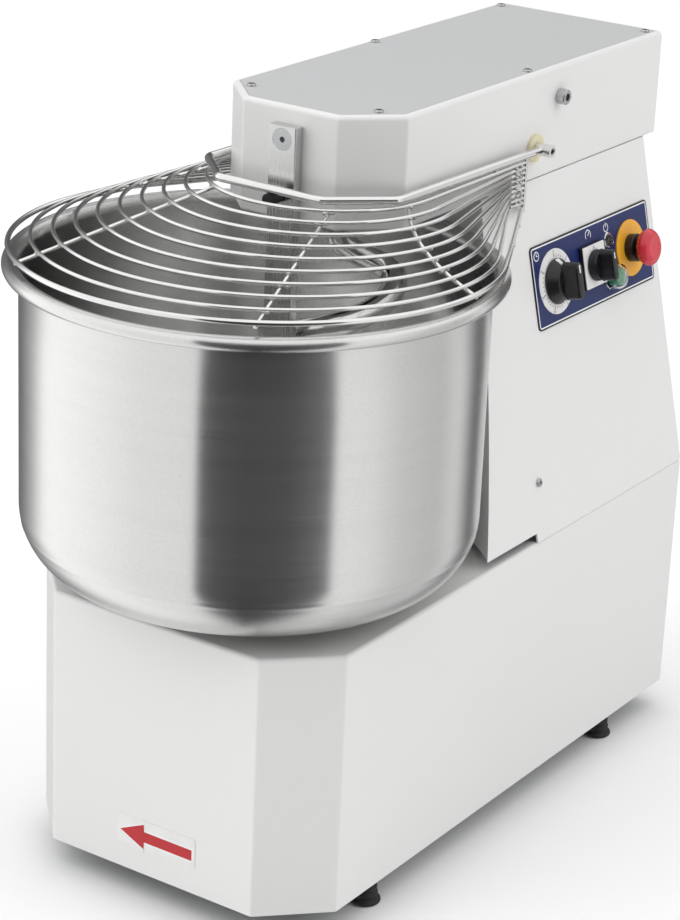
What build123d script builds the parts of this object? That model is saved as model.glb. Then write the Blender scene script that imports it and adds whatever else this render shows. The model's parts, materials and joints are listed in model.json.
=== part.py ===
"""Spiral dough mixer with a fixed head: bowl, spiral, breaker bar, wire guard, drive train and controls.

Frame: millimetres, +Z up, -Y is the bowl end (front), +X is the control side.
The origin is on the floor, at the middle of the machine's bounding box.
"""
import os
from math import acos, asin, atan, atan2, cos, hypot, pi, radians, sin, sqrt

from build123d import *

# ---------------------------------------------------------------- driving dimensions
foot_height = 30.0
foot_top_radius = 12.0
foot_bottom_radius = 16.5
foot_spread_x = 163.0            # feet, from the middle
foot_front_y = -12.0             # feet, from the bowl axis
foot_rear_inset = 115.0          # rear feet, in front of the base's rear

sheet = 2.0                      # wall of the painted casings
seam = 0.3                       # gap between neighbouring casings
base_half_width = 182.0
base_height = 272.5
base_front_y = -150.0            # base front, from the bowl axis
base_chamfer = 59.0
floor_plate = 5.0

column_headroom = 26.0           # column's top above the bowl's rim
shroud_gap = 15.0                # column's hollow front, outside the bowl and its rim
slot_height = 10.0               # open slot under the column's front

head_half_width = 102.4
head_height = 111.5
head_chamfer = 47.5
head_overhang = 25.0             # head's rear, behind the column
cover_inset = 6.0
cover_sheet = 1.5

bowl_radius = 225.0
bowl_wall = 2.0
bowl_floor = 4.0
bowl_height = 315.0
bowl_knuckle = 68.0
bowl_lift = 14.0                 # bowl's underside above the base's top
rim_tube = 7.0
rim_reach = 9.0                  # centre of the rolled rim, outside the wall

spiral_wall_gap = 19.5           # spiral to the bowl's wall
spiral_rod = 12.5
spiral_coil_radius = 61.0
spiral_pitch = 116.5
spiral_turns = 2.0
spiral_floor_gap = 13.5          # tip to the bowl's floor, clear of the bowl's knuckle

bar_width = 31.0
bar_thick = 12.0
bar_spiral_gap = 10.5            # back of the bar to the spiral
bar_above_head_bottom = 94.5     # bar's top above the head's underside
bar_floor_gap = 26.0
bar_screw_drop = 13.0

guard_frame_rod = 4.2
guard_rod = 2.0
guard_ring_rod = 2.6
guard_wire_count = 9             # thin wires inside the outer ring
guard_ring_reach = 1.0           # outer ring, outside the middle of the bowl's rim
guard_ring_rise = 14.0           # outer ring's front above the bowl's rim
guard_head_gap = 9.5             # frame wire's centre, outside the head's side
guard_front_gap = 30.0           # frame wire's centre, in front of the head
guard_pivot_setback = 76.0       # pivot behind the column's hollow front
guard_pivot_rise = 33.5          # pivot above the head's underside
guard_comb_lead = 32.0           # ends of the wires, in front of the pivot
inner_wire_lead = 20.9           # innermost wire, in front of the frame wire
guard_stub = 28.0
pivot_pin_radius = 4.0
pivot_boss_wall = 2.6
pivot_boss_length = 18.0
washer_radius = 14.5
washer_thick = 3.6

shaft_clearance = 0.05
chain_pitch = 12.7
roller_radius = 4.25
sprocket_thick = 5.0
small_chain_pitch = 9.525
small_roller_radius = 3.17
bowl_teeth = 66
counter_small_teeth = 12
counter_big_teeth = 60
main_low_teeth = 14
main_top_teeth = 14
spiral_teeth = 36

counter_x = 75.0
counter_lead = 130.0             # counter shaft in front of the main shaft
pulley_gap = 9.0                 # main pulley to the column's hollow front
belt_gap = 25.0                  # between the two pulleys
motor_gap = 14.0                 # motor to the rear of the column
main_radius = 15.0
counter_radius = 12.5
bowl_shaft_radius = 17.5
motor_shaft_radius = 12.0
motor_radius = 76.0
motor_length = 270.0
main_pulley_radius = 80.0
motor_pulley_radius = 30.0
groove_depth = 9.0
groove_pitch = 14.0
belt_height = 7.0
belt_width = 8.4

cheek_thick = 10.0
cheek_gap = 4.4                  # cheeks to the head's wall
cheek_lead = 22.0                # cheeks' front edge, in front of the main shaft
cheek_width = 80.0
arm_thick = 10.0

panel_length = 246.0
panel_height = 87.5
panel_rear_inset = 138.0         # panel centre in front of the column's rear
panel_drop = 107.5               # panel centre below the column's top
timer_u = -80.0                  # control places on the panel, from its centre
selector_u = -6.0
lamp_u = 32.0
estop_u = 77.5
lamp_v = 18.0
start_v = -22.0

# ---------------------------------------------------------------- places worked out from them
rim_centre_radius = bowl_radius + rim_reach
shroud_low_radius = bowl_radius + shroud_gap
shroud_high_radius = rim_centre_radius + rim_tube + shroud_gap
slot_rear_y = shroud_high_radius + 1
column_height = bowl_lift + bowl_height + column_headroom
main_y = shroud_high_radius + pulley_gap + main_pulley_radius
motor_y = main_y + main_pulley_radius + belt_gap + motor_pulley_radius
body_rear_y = motor_y + motor_radius + motor_gap
head_rear_y = body_rear_y + head_overhang
counter_y = main_y - counter_lead
spiral_y = bowl_radius - bowl_wall - spiral_wall_gap - spiral_coil_radius - spiral_rod
head_front_y = spiral_y - spiral_coil_radius - spiral_rod - bar_spiral_gap
guard_pivot_y = shroud_high_radius + guard_pivot_setback
guard_comb_y = guard_pivot_y - guard_comb_lead
guard_ring_radius = rim_centre_radius + guard_ring_reach
pivot_boss_radius = pivot_pin_radius + pivot_boss_wall
cheek_x = head_half_width - sheet - cheek_gap - cheek_thick
cheek_front_y = main_y - cheek_lead
cheek_rear_y = cheek_front_y + cheek_width
panel_y = body_rear_y - panel_rear_inset
foot_rear_y = body_rear_y - foot_rear_inset
bowl_y = (rim_centre_radius + rim_tube - head_rear_y) / 2
base_bottom = foot_height
base_top = base_bottom + base_height
head_bottom = base_top + column_height
head_top = head_bottom + head_height
body_rear = bowl_y + body_rear_y
head_front = bowl_y + head_front_y
bowl_bottom = base_top + bowl_lift
bowl_top = bowl_bottom + bowl_height
rim_z = bowl_top - rim_tube
side_tilt = atan((base_half_width - head_half_width) / column_height)
pivot_y = bowl_y + guard_pivot_y
pivot_z = head_bottom + guard_pivot_rise
main_axis_y = bowl_y + main_y
motor_axis_y = bowl_y + motor_y
counter_axis_y = bowl_y + counter_y
floor_top = base_bottom + floor_plate


def column_half_width(z):
    """Half the column's width at height z."""
    return head_half_width + (head_bottom - z) * (base_half_width - head_half_width) / column_height


def side_plane(u, v, lift=0.0):
    """A plane on the control side of the column, u along +Y and v up the slope from the panel's centre."""
    z = head_bottom - panel_drop
    centre = Plane(
        origin=(column_half_width(z), bowl_y + panel_y, z),
        x_dir=(0, 1, 0),
        z_dir=(cos(side_tilt), 0, sin(side_tilt)),
    )
    return Plane(origin=centre.from_local_coords((u, v, lift)), x_dir=centre.x_dir, z_dir=centre.z_dir)


def chamfered_outline(half_width, front, rear, chamfer_size):
    """Corners of a plan outline with its two front corners cut at 45 degrees."""
    return [
        (-half_width, rear),
        (-half_width, front + chamfer_size),
        (-half_width + chamfer_size, front),
        (half_width - chamfer_size, front),
        (half_width, front + chamfer_size),
        (half_width, rear),
    ]


def inset_outline(half_width, front, rear, chamfer_size, inset):
    """The same outline moved inwards by inset on every side."""
    corner = chamfer_size - inset * (2 - sqrt(2))
    return chamfered_outline(half_width - inset, front + inset, rear - inset, corner)


os.makedirs("parts", exist_ok=True)
pieces = {}

# ---------------------------------------------------------------- base casing
base_outline = (base_half_width, bowl_y + base_front_y, body_rear, base_chamfer)
column_opening_front = bowl_y + slot_rear_y + 6
bowl_housing_radius = 52.0
bend_radius = 4.0

with BuildPart() as base_shell:
    with BuildSketch(Plane.XY.offset(base_bottom)):
        with BuildLine():
            Polyline(*chamfered_outline(*base_outline), close=True)
        make_face()
    extrude(amount=base_height)
    fillet(base_shell.edges().filter_by(Axis.Z), bend_radius)
    fillet(base_shell.faces().sort_by(Axis.Z)[-1].edges(), bend_radius)
    with BuildSketch(Plane.XY.offset(base_bottom)):
        with BuildLine():
            Polyline(*inset_outline(*base_outline, sheet), close=True)
        make_face()
    extrude(amount=base_height - sheet, mode=Mode.SUBTRACT)
    with BuildSketch(Plane.XY.offset(base_top)):
        with Locations((0, bowl_y)):
            Circle(bowl_housing_radius + 1)
    extrude(amount=-2 * sheet, mode=Mode.SUBTRACT)
    with BuildSketch(Plane.XY.offset(base_top)):
        with BuildLine():
            Polyline(
                (-cheek_x - cheek_thick - 4, column_opening_front),
                (cheek_x + cheek_thick + 4, column_opening_front),
                (cheek_x + cheek_thick + 4, body_rear - 12),
                (-cheek_x - cheek_thick - 4, body_rear - 12),
                close=True,
            )
        make_face()
    extrude(amount=-2 * sheet, mode=Mode.SUBTRACT)
    gland_z = base_bottom + 70
    with BuildSketch(Plane((0, body_rear, gland_z), x_dir=(1, 0, 0), z_dir=(0, -1, 0))):
        with Locations((-110, 0)):
            Circle(10.2)
    extrude(amount=2 * sheet, mode=Mode.SUBTRACT)
pieces["base_shell"] = base_shell

foot_places = [
    (side * foot_spread_x, bowl_y + y) for side in (-1, 1) for y in (foot_front_y, foot_rear_y)
]
foot_bolt_radius = 5.0

with BuildPart() as base_floor:
    with BuildSketch(Plane.XY.offset(base_bottom)):
        with BuildLine():
            Polyline(*inset_outline(*base_outline, sheet + seam), close=True)
        make_face()
        with Locations(*foot_places):
            Circle(foot_bolt_radius + 0.5, mode=Mode.SUBTRACT)
    extrude(amount=floor_plate)
pieces["base_floor"] = base_floor

with BuildPart() as feet:
    for x, y in foot_places:
        with BuildSketch(Plane((x, y, 0), x_dir=(1, 0, 0), z_dir=(0, -1, 0))):
            with BuildLine():
                Polyline(
                    (0, 0),
                    (foot_bottom_radius - 1, 0),
                    (foot_bottom_radius, 2),
                    (foot_bottom_radius - 1, 5),
                    (foot_top_radius, foot_height - seam),
                    (0, foot_height - seam),
                    close=True,
                )
            make_face()
        revolve(axis=Axis((x, y, 0), (0, 0, 1)))
        with BuildSketch(Plane((x, y, foot_height - seam))):
            Circle(foot_bolt_radius + shaft_clearance)
        extrude(amount=-18, mode=Mode.SUBTRACT)
pieces["feet"] = feet

with BuildPart() as foot_bolts:
    for x, y in foot_places:
        with BuildSketch(Plane((x, y, foot_height - 16))):
            Circle(foot_bolt_radius)
        extrude(amount=16 + floor_plate + 12)
        with BuildSketch(Plane((x, y, floor_top + 0.1))):
            RegularPolygon(radius=9.5, side_count=6)
        extrude(amount=8)
pieces["foot_bolts"] = foot_bolts

with BuildPart() as cable_gland:
    with BuildSketch(Plane((-110, body_rear + 0.1, gland_z), x_dir=(1, 0, 0), z_dir=(0, 1, 0))):
        RegularPolygon(radius=15, side_count=6)
    extrude(amount=6)
    with BuildSketch(Plane((-110, body_rear + 6.1, gland_z), x_dir=(1, 0, 0), z_dir=(0, 1, 0))):
        Circle(12.5)
    extrude(amount=14, taper=14)
    with BuildSketch(Plane((-110, body_rear + 0.1, gland_z), x_dir=(1, 0, 0), z_dir=(0, -1, 0))):
        Circle(10)
    extrude(amount=14)
    with BuildSketch(Plane((-110, body_rear + 24, gland_z), x_dir=(1, 0, 0), z_dir=(0, -1, 0))):
        Circle(5.2)
    extrude(amount=60, mode=Mode.SUBTRACT)
pieces["cable_gland"] = cable_gland

# ---------------------------------------------------------------- column casing
def shroud_radius(z):
    """Radius of the column's hollow front about the bowl axis at height z."""
    share = (z - base_top) / column_height
    return shroud_low_radius + share * (shroud_high_radius - shroud_low_radius)


def column_body(z_low, z_high, inset, rear):
    """Tapered column block with a hollow front that follows the bowl, moved inwards by inset."""
    with BuildPart() as block:
        for z in (z_low, z_high):
            half = column_half_width(z) - inset / cos(side_tilt)
            with BuildSketch(Plane.XY.offset(z)):
                with Locations((0, (bowl_y + rear) / 2)):
                    Rectangle(2 * half, rear - bowl_y)
        loft()
        with BuildSketch(Plane((0, bowl_y, 0), x_dir=(1, 0, 0), z_dir=(0, -1, 0))):
            with BuildLine():
                low, high = z_low - 5, z_high + 5
                Polyline(
                    (0, low),
                    (shroud_radius(low) + inset, low),
                    (shroud_radius(high) + inset, high),
                    (0, high),
                    close=True,
                )
            make_face()
        revolve(axis=Axis((0, bowl_y, 0), (0, 0, 1)), mode=Mode.SUBTRACT)
    return block.part


def trapezoid(z_low, z_high, edge):
    """Corners of the column's rear seen from behind, moved in by edge at its sides."""
    low_half = column_half_width(z_low) - edge / cos(side_tilt)
    high_half = column_half_width(z_high) - edge / cos(side_tilt)
    return [(-low_half, z_low), (low_half, z_low), (high_half, z_high), (-high_half, z_high)]


control_holes = [
    (timer_u, 0, 6.0),
    (selector_u, 0, 8.0),
    (lamp_u, lamp_v, 5.5),
    (lamp_u, start_v, 11.2),
    (estop_u, 0, 11.2),
]
column_bottom = base_top + 0.2
column_top = head_bottom - seam
window_edge = 18.0
cover_edge = 6.0
hollow = column_body(column_bottom - 4, column_top + 4, sheet, body_rear - sheet)

with BuildPart() as column_shell:
    add(column_body(column_bottom, column_top, 0, body_rear))
    fillet(column_shell.edges().filter_by(lambda e: e.center().Y > body_rear - 1 and e.length > 300), 3)
    add(hollow, mode=Mode.SUBTRACT)
    with BuildSketch(Plane.XY.offset(column_bottom)):
        with Locations((0, bowl_y + slot_rear_y / 2)):
            Rectangle(2 * base_half_width + 20, slot_rear_y)
    extrude(amount=slot_height - 0.2, mode=Mode.SUBTRACT)
    with BuildSketch(Plane((0, body_rear + 1, 0), x_dir=(1, 0, 0), z_dir=(0, -1, 0))):
        with BuildLine():
            Polyline(*trapezoid(base_top + window_edge, head_bottom - window_edge, window_edge), close=True)
        make_face()
    extrude(amount=2 * sheet, mode=Mode.SUBTRACT)
    for u, v, hole in control_holes:
        with BuildSketch(side_plane(u, v, 2)):
            Circle(hole)
        extrude(amount=-3 * sheet, mode=Mode.SUBTRACT)
pieces["column_shell"] = column_shell

vent_rows = 8
vent_pitch = 14.0
vent_low = base_top + 50

with BuildPart() as rear_cover:
    with BuildSketch(Plane((0, body_rear + seam, 0), x_dir=(1, 0, 0), z_dir=(0, -1, 0))):
        with BuildLine():
            Polyline(*trapezoid(base_top + cover_edge, head_bottom - cover_edge, cover_edge), close=True)
        make_face()
        for row in range(vent_rows):
            with Locations((0, vent_low + vent_pitch * row)):
                SlotOverall(120, 5, mode=Mode.SUBTRACT)
    extrude(amount=-sheet)
    fillet(rear_cover.edges().group_by(Axis.Y)[-1].filter_by(lambda e: e.length > 130), 0.8)
pieces["rear_cover"] = rear_cover

pan_head_radius = 4.6
pan_head_height = 2.6
screw_radius = 2.5


def pan_screw(plane, shank):
    """Pan-head screw with a cross recess: its head rests on the plane and its shank points back."""
    with BuildPart(plane) as screw:
        with BuildSketch(plane):
            Circle(pan_head_radius)
        extrude(amount=pan_head_height)
        fillet(screw.faces().sort_by(Axis(plane.origin, plane.z_dir))[-1].edges(), 1.6)
        with BuildSketch(plane.offset(pan_head_height)):
            Rectangle(5, 1)
            Rectangle(1, 5)
        extrude(amount=-1.6, mode=Mode.SUBTRACT)
        with BuildSketch(plane):
            Circle(screw_radius)
        extrude(amount=-shank)
    return screw.part


rear_screw_planes = []
for z in (base_top + 12, (base_top + head_bottom) / 2, head_bottom - 12):
    for side in (-1, 1):
        place = (side * (column_half_width(z) - 13 / cos(side_tilt)), body_rear + seam + sheet, z)
        rear_screw_planes.append(Plane(place, x_dir=(1, 0, 0), z_dir=(0, 1, 0)))

for piece, shank_hole in ((rear_cover, screw_radius + 0.1), (column_shell, screw_radius + 0.1)):
    with piece:
        for plane in rear_screw_planes:
            with BuildSketch(plane.offset(1)):
                Circle(shank_hole)
            extrude(amount=-12, mode=Mode.SUBTRACT)

side_screw_z = base_top + 59
side_screw_planes = [
    Plane(
        (side * column_half_width(side_screw_z), bowl_y + slot_rear_y + 15, side_screw_z),
        x_dir=(0, 1, 0),
        z_dir=(side * cos(side_tilt), 0, sin(side_tilt)),
    )
    for side in (-1, 1)
]
with column_shell:
    for plane in side_screw_planes:
        with BuildSketch(plane.offset(1)):
            Circle(screw_radius + 0.1)
        extrude(amount=-8, mode=Mode.SUBTRACT)

# ---------------------------------------------------------------- head casing
head_outline = (head_half_width, head_front, bowl_y + head_rear_y, head_chamfer)
spindle_y = bowl_y + spiral_y
housing_radius = 40.0
head_edge_radius = 5.0
belly_front = bowl_y + slot_rear_y + 6

with BuildPart() as head_shell:
    with BuildSketch(Plane.XY.offset(head_bottom)):
        with BuildLine():
            Polyline(*chamfered_outline(*head_outline), close=True)
        make_face()
    extrude(amount=head_height)
    fillet(head_shell.edges().filter_by(Axis.Z), bend_radius)
    fillet(head_shell.faces().sort_by(Axis.Z)[-1].edges(), head_edge_radius)
    fillet(head_shell.faces().sort_by(Axis.Z)[0].edges(), 2.5)
    with BuildSketch(Plane.XY.offset(head_bottom + sheet)):
        with BuildLine():
            Polyline(*inset_outline(*head_outline, sheet), close=True)
        make_face()
    extrude(amount=head_height - 2 * sheet - cover_sheet, mode=Mode.SUBTRACT)
    with BuildSketch(Plane.XY.offset(head_top - cover_sheet)):
        with BuildLine():
            Polyline(*inset_outline(*head_outline, cover_inset), close=True)
        make_face()
    extrude(amount=cover_sheet + 1, mode=Mode.SUBTRACT)
    with BuildSketch(Plane.XY.offset(head_top - 2 * sheet - cover_sheet - 1)):
        with BuildLine():
            Polyline(*inset_outline(*head_outline, cover_inset + 14), close=True)
        make_face()
    extrude(amount=2 * sheet + 2, mode=Mode.SUBTRACT)
    with BuildSketch(Plane.XY.offset(head_bottom - 1)):
        with Locations((0, spindle_y)):
            Circle(housing_radius + 1)
        with BuildLine():
            Polyline(
                (-cheek_x - cheek_thick - 2, belly_front),
                (cheek_x + cheek_thick + 2, belly_front),
                (cheek_x + cheek_thick + 2, body_rear - 20),
                (-cheek_x - cheek_thick - 2, body_rear - 20),
                close=True,
            )
        make_face()
    extrude(amount=2 * sheet, mode=Mode.SUBTRACT)
    for x in (-1, 1):
        with BuildSketch(Plane((x * (head_half_width + 1), pivot_y, pivot_z), z_dir=(-x, 0, 0))):
            Circle(pivot_pin_radius + 0.1)
        extrude(amount=2 * sheet, mode=Mode.SUBTRACT)
pieces["head_shell"] = head_shell

cover_screw_insets = (               # in from the head's side, and along it from the bowl axis
    (28.4, head_front_y + 39),
    (10.4, guard_pivot_y - 5),
    (11.9, head_rear_y - 20),
)
cover_screw_places = [
    (side * (head_half_width - inset), bowl_y + y)
    for inset, y in cover_screw_insets
    for side in (-1, 1)
]

with BuildPart() as head_cover:
    with BuildSketch(Plane.XY.offset(head_top - cover_sheet)):
        with BuildLine():
            Polyline(*inset_outline(*head_outline, cover_inset + 0.6), close=True)
        make_face()
        with Locations(*cover_screw_places):
            Circle(screw_radius + 0.1, mode=Mode.SUBTRACT)
    extrude(amount=cover_sheet)
pieces["head_cover"] = head_cover

with head_shell:
    for x, y in cover_screw_places:
        with BuildSketch(Plane((x, y, head_top))):
            Circle(screw_radius + 0.1)
        extrude(amount=-8, mode=Mode.SUBTRACT)
with BuildPart() as casing_screws:
    for plane in rear_screw_planes:
        add(pan_screw(plane, 2 * sheet + 3))
    for plane in side_screw_planes:
        add(pan_screw(plane.offset(0.1), 12))
    for x, y in cover_screw_places:
        add(pan_screw(Plane((x, y, head_top)), 10))
pieces["casing_screws"] = casing_screws

side_bolt_y = bowl_y + guard_pivot_y + 44.5
side_bolt_z = head_bottom + 79.5
side_bolt_radius = 5.0


def socket_screw(plane, head_radius, head_length, shank_radius, shank):
    """Socket-head cap screw: its head rests on the plane and its shank points back."""
    with BuildPart(plane) as screw:
        with BuildSketch(plane):
            Circle(head_radius)
        extrude(amount=head_length)
        chamfer(screw.faces().sort_by(Axis(plane.origin, plane.z_dir))[-1].edges(), 0.8)
        with BuildSketch(plane.offset(head_length)):
            RegularPolygon(radius=head_radius * 0.55, side_count=6)
        extrude(amount=-0.6 * head_length, mode=Mode.SUBTRACT)
        with BuildSketch(plane):
            Circle(shank_radius)
        extrude(amount=-shank)
    return screw.part


head_side_planes = [
    Plane((side * head_half_width, side_bolt_y, side_bolt_z), x_dir=(0, 1, 0), z_dir=(side, 0, 0))
    for side in (-1, 1)
]
with head_shell:
    for plane in head_side_planes:
        with BuildSketch(plane.offset(1)):
            Circle(side_bolt_radius + 0.1)
        extrude(amount=-8, mode=Mode.SUBTRACT)
with BuildPart() as head_side_bolts:
    for plane in head_side_planes:
        add(socket_screw(plane.offset(0.1), 8, 10, side_bolt_radius, 10))
pieces["head_side_bolts"] = head_side_bolts

# ---------------------------------------------------------------- inner frame
arm_bottom = head_bottom + 12.5
arm_top = arm_bottom + arm_thick
unit_height = 12.0
support_top = base_top - sheet - 0.2
support_plate = 8.0

with BuildPart() as frame_cheeks:
    for side in (-1, 1):
        with BuildSketch(Plane.XY.offset(floor_top + 0.1)):
            cheek_middle_y = bowl_y + (cheek_front_y + cheek_rear_y) / 2
            with Locations((side * (cheek_x + cheek_thick / 2), cheek_middle_y)):
                Rectangle(cheek_thick, cheek_rear_y - cheek_front_y)
        extrude(amount=arm_bottom - floor_top - 0.2)
pieces["frame_cheeks"] = frame_cheeks

arm_front = spindle_y - 60
with BuildPart() as head_arm:
    with BuildSketch(Plane.XY.offset(arm_bottom)):
        with BuildLine():
            Polyline(
                *chamfered_outline(cheek_x + cheek_thick, arm_front, bowl_y + cheek_rear_y, 36), close=True
            )
        make_face()
        with Locations((0, spindle_y)):
            Circle(housing_radius + 0.1, mode=Mode.SUBTRACT)
        with Locations((0, main_axis_y)):
            Circle(main_radius + 2, mode=Mode.SUBTRACT)
    extrude(amount=arm_thick)
pieces["head_arm"] = head_arm

bowl_sprocket_z = base_bottom + 110
bowl_housing_bottom = bowl_sprocket_z + 42.5
with BuildPart() as bowl_support:
    with BuildSketch(Plane.XY.offset(support_top - support_plate)):
        with Locations((0, bowl_y)):
            Rectangle(2 * (base_half_width - sheet - 1), 170)
            Circle(bowl_housing_radius + 0.1, mode=Mode.SUBTRACT)
    extrude(amount=support_plate)
pieces["bowl_support"] = bowl_support

# ---------------------------------------------------------------- bowl and its shaft
with BuildPart() as bowl:
    with BuildSketch(Plane((0, bowl_y, 0), x_dir=(1, 0, 0), z_dir=(0, -1, 0))):
        with BuildLine():
            outer, inner = bowl_radius, bowl_radius - bowl_wall
            turn = bowl_knuckle / sqrt(2)
            low, floor = bowl_bottom, bowl_bottom + bowl_floor
            inner_turn = (bowl_knuckle - bowl_wall) / sqrt(2)
            bead = rim_centre_radius
            Line((0, low), (outer - bowl_knuckle, low))
            ThreePointArc(
                (outer - bowl_knuckle, low),
                (outer - bowl_knuckle + turn, low + bowl_knuckle - turn),
                (outer, low + bowl_knuckle),
            )
            Line((outer, low + bowl_knuckle), (outer, rim_z - rim_tube))
            Line((outer, rim_z - rim_tube), (bead, rim_z - rim_tube))
            ThreePointArc((bead, rim_z - rim_tube), (bead + rim_tube, rim_z), (bead, bowl_top))
            RadiusArc((bead, bowl_top), (inner, bowl_top - 11), -11.4)
            Line((inner, bowl_top - 11), (inner, low + bowl_knuckle))
            ThreePointArc(
                (inner, low + bowl_knuckle),
                (outer - bowl_knuckle + inner_turn, low + bowl_knuckle - inner_turn),
                (outer - bowl_knuckle, low + bowl_wall),
            )
            Line((outer - bowl_knuckle, low + bowl_wall), (outer - bowl_knuckle - 30, floor))
            Line((outer - bowl_knuckle - 30, floor), (0, floor))
            Line((0, floor), (0, low))
        make_face()
    revolve(axis=Axis((0, bowl_y, 0), (0, 0, 1)))
pieces["bowl"] = bowl

hub_top = bowl_bottom - 0.1
hub_flange = 8.0
counter_chain_z = base_bottom + 60

with BuildPart() as bowl_shaft:
    with BuildSketch(Plane.XY.offset(hub_top - hub_flange)):
        with Locations((0, bowl_y)):
            Circle(70)
    extrude(amount=hub_flange)
    with BuildSketch(Plane.XY.offset(bowl_sprocket_z - 16)):
        with Locations((0, bowl_y)):
            Circle(bowl_shaft_radius)
    extrude(amount=hub_top - hub_flange - bowl_sprocket_z + 16)
pieces["bowl_shaft"] = bowl_shaft

bearing_width = 17.0
bowl_bearing_radius = 36.0
with BuildPart() as bowl_housing:
    with BuildSketch(Plane.XY.offset(bowl_housing_bottom)):
        with Locations((0, bowl_y)):
            Circle(bowl_housing_radius)
            Circle(bowl_bearing_radius, mode=Mode.SUBTRACT)
    extrude(amount=base_top + 2 - bowl_housing_bottom)
    with BuildSketch(Plane.XY.offset(support_top - support_plate - 12.1)):
        with Locations((0, bowl_y)):
            Circle(80)
            Circle(bowl_housing_radius - 1, mode=Mode.SUBTRACT)
    extrude(amount=12)
pieces["bowl_housing"] = bowl_housing


def ball_bearing(bore, outer, width, x, y, z):
    """Sealed ball bearing as one ring, with its two shield grooves, standing on height z."""
    middle = (bore + outer) / 2
    groove = (outer - bore) * 0.22
    with BuildPart() as ring:
        with BuildSketch(Plane((x, y, z), x_dir=(1, 0, 0), z_dir=(0, -1, 0))):
            with BuildLine():
                Polyline(
                    (bore, 0),
                    (middle - groove, 0),
                    (middle - groove, 1),
                    (middle + groove, 1),
                    (middle + groove, 0),
                    (outer, 0),
                    (outer, width),
                    (middle + groove, width),
                    (middle + groove, width - 1),
                    (middle - groove, width - 1),
                    (middle - groove, width),
                    (bore, width),
                    close=True,
                )
            make_face()
        revolve(axis=Axis((x, y, z), (0, 0, 1)))
    return ring.part



# ---------------------------------------------------------------- sprockets and chains
def pitch_radius(teeth, pitch):
    """Radius of the circle through the chain's rollers."""
    return pitch / (2 * sin(pi / teeth))


def sprocket(teeth, pitch, roller, bore, x, y, z, hub=None):
    """Chain sprocket centred on height z, with round tooth gaps, a hub below it and lightening holes."""
    ring = pitch_radius(teeth, pitch)
    with BuildPart() as wheel:
        with BuildSketch(Plane((x, y, z - sprocket_thick / 2))):
            Circle(ring + roller * 0.55)
            with PolarLocations(ring, teeth):
                Circle(roller, mode=Mode.SUBTRACT)
            if ring > 60:
                with PolarLocations(ring * 0.6, 6):
                    Circle(ring * 0.17, mode=Mode.SUBTRACT)
        extrude(amount=sprocket_thick)
        if hub:
            with BuildSketch(Plane((x, y, z - sprocket_thick / 2))):
                Circle(hub)
            extrude(amount=-10)
        with BuildSketch(Plane((x, y, z + sprocket_thick))):
            Circle(bore)
        extrude(amount=-4 * sprocket_thick, mode=Mode.SUBTRACT)
    return wheel.part


def chain(teeth_1, centre_1, teeth_2, centre_2, pitch, roller, z):
    """Chain loop round two sprockets: upper and lower side plates, joined by rollers on the free runs."""
    r1, r2 = pitch_radius(teeth_1, pitch), pitch_radius(teeth_2, pitch)
    half_plate = pitch * 0.4
    plate = 1.4
    plate_gap = sprocket_thick / 2 + 0.6
    dx, dy = centre_2[0] - centre_1[0], centre_2[1] - centre_1[1]
    distance = hypot(dx, dy)
    heading = atan2(dy, dx)
    lean = asin((r1 - r2) / distance)
    with BuildPart() as loop:
        for level in (z + plate_gap, z - plate_gap - plate):
            with BuildSketch(Plane.XY.offset(level)):
                for grow, how in ((half_plate, Mode.ADD), (-half_plate, Mode.SUBTRACT)):
                    with BuildSketch(mode=Mode.PRIVATE) as band:
                        with Locations(centre_1):
                            Circle(r1 + grow)
                        with Locations(centre_2):
                            Circle(r2 + grow)
                        make_hull()
                    add(band.sketch, mode=how)
            extrude(amount=plate)
        for side in (-1, 1):
            normal = heading + side * (pi / 2 - lean)
            start = (centre_1[0] + r1 * cos(normal), centre_1[1] + r1 * sin(normal))
            run = sqrt(distance**2 - (r1 - r2) ** 2)
            along = normal - side * pi / 2
            clear_1 = sqrt((r1 + 1.6 * roller + 0.6) ** 2 - r1**2)
            clear_2 = sqrt((r2 + 1.6 * roller + 0.6) ** 2 - r2**2)
            count = int((run - clear_1 - clear_2) // pitch) + 1
            first = clear_1 + (run - clear_1 - clear_2 - (count - 1) * pitch) / 2
            spots = [
                (
                    start[0] + (first + link * pitch) * cos(along),
                    start[1] + (first + link * pitch) * sin(along),
                )
                for link in range(count)
            ]
            with BuildSketch(Plane.XY.offset(z - plate_gap)):
                with Locations(*spots):
                    Circle(roller)
            extrude(amount=2 * plate_gap)
    return loop.part


top_chain_z = head_bottom + 47.5
with BuildPart() as bowl_sprocket:
    bore = bowl_shaft_radius + 0.02
    add(sprocket(bowl_teeth, chain_pitch, roller_radius, bore, 0, bowl_y, bowl_sprocket_z, 30))
pieces["bowl_sprocket"] = bowl_sprocket

with BuildPart() as bowl_chain:
    add(
        chain(
            bowl_teeth, (0, bowl_y), counter_small_teeth, (counter_x, counter_axis_y),
            chain_pitch, roller_radius, bowl_sprocket_z,
        )
    )
pieces["bowl_chain"] = bowl_chain

with BuildPart() as counter_shaft:
    with BuildSketch(Plane((counter_x, counter_axis_y, floor_top + 6))):
        Circle(counter_radius)
    extrude(amount=bowl_sprocket_z + 14 - floor_top - 6)
    small_tip = pitch_radius(counter_small_teeth, chain_pitch)
    add(
        sprocket(
            counter_small_teeth, chain_pitch, roller_radius, counter_radius - 0.5,
            counter_x, counter_axis_y, bowl_sprocket_z, small_tip - 5.5,
        )
    )
pieces["counter_shaft"] = counter_shaft

with BuildPart() as counter_sprocket:
    add(
        sprocket(
            counter_big_teeth, small_chain_pitch, small_roller_radius, counter_radius + 0.02,
            counter_x, counter_axis_y, counter_chain_z, 24,
        )
    )
pieces["counter_sprocket"] = counter_sprocket

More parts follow.
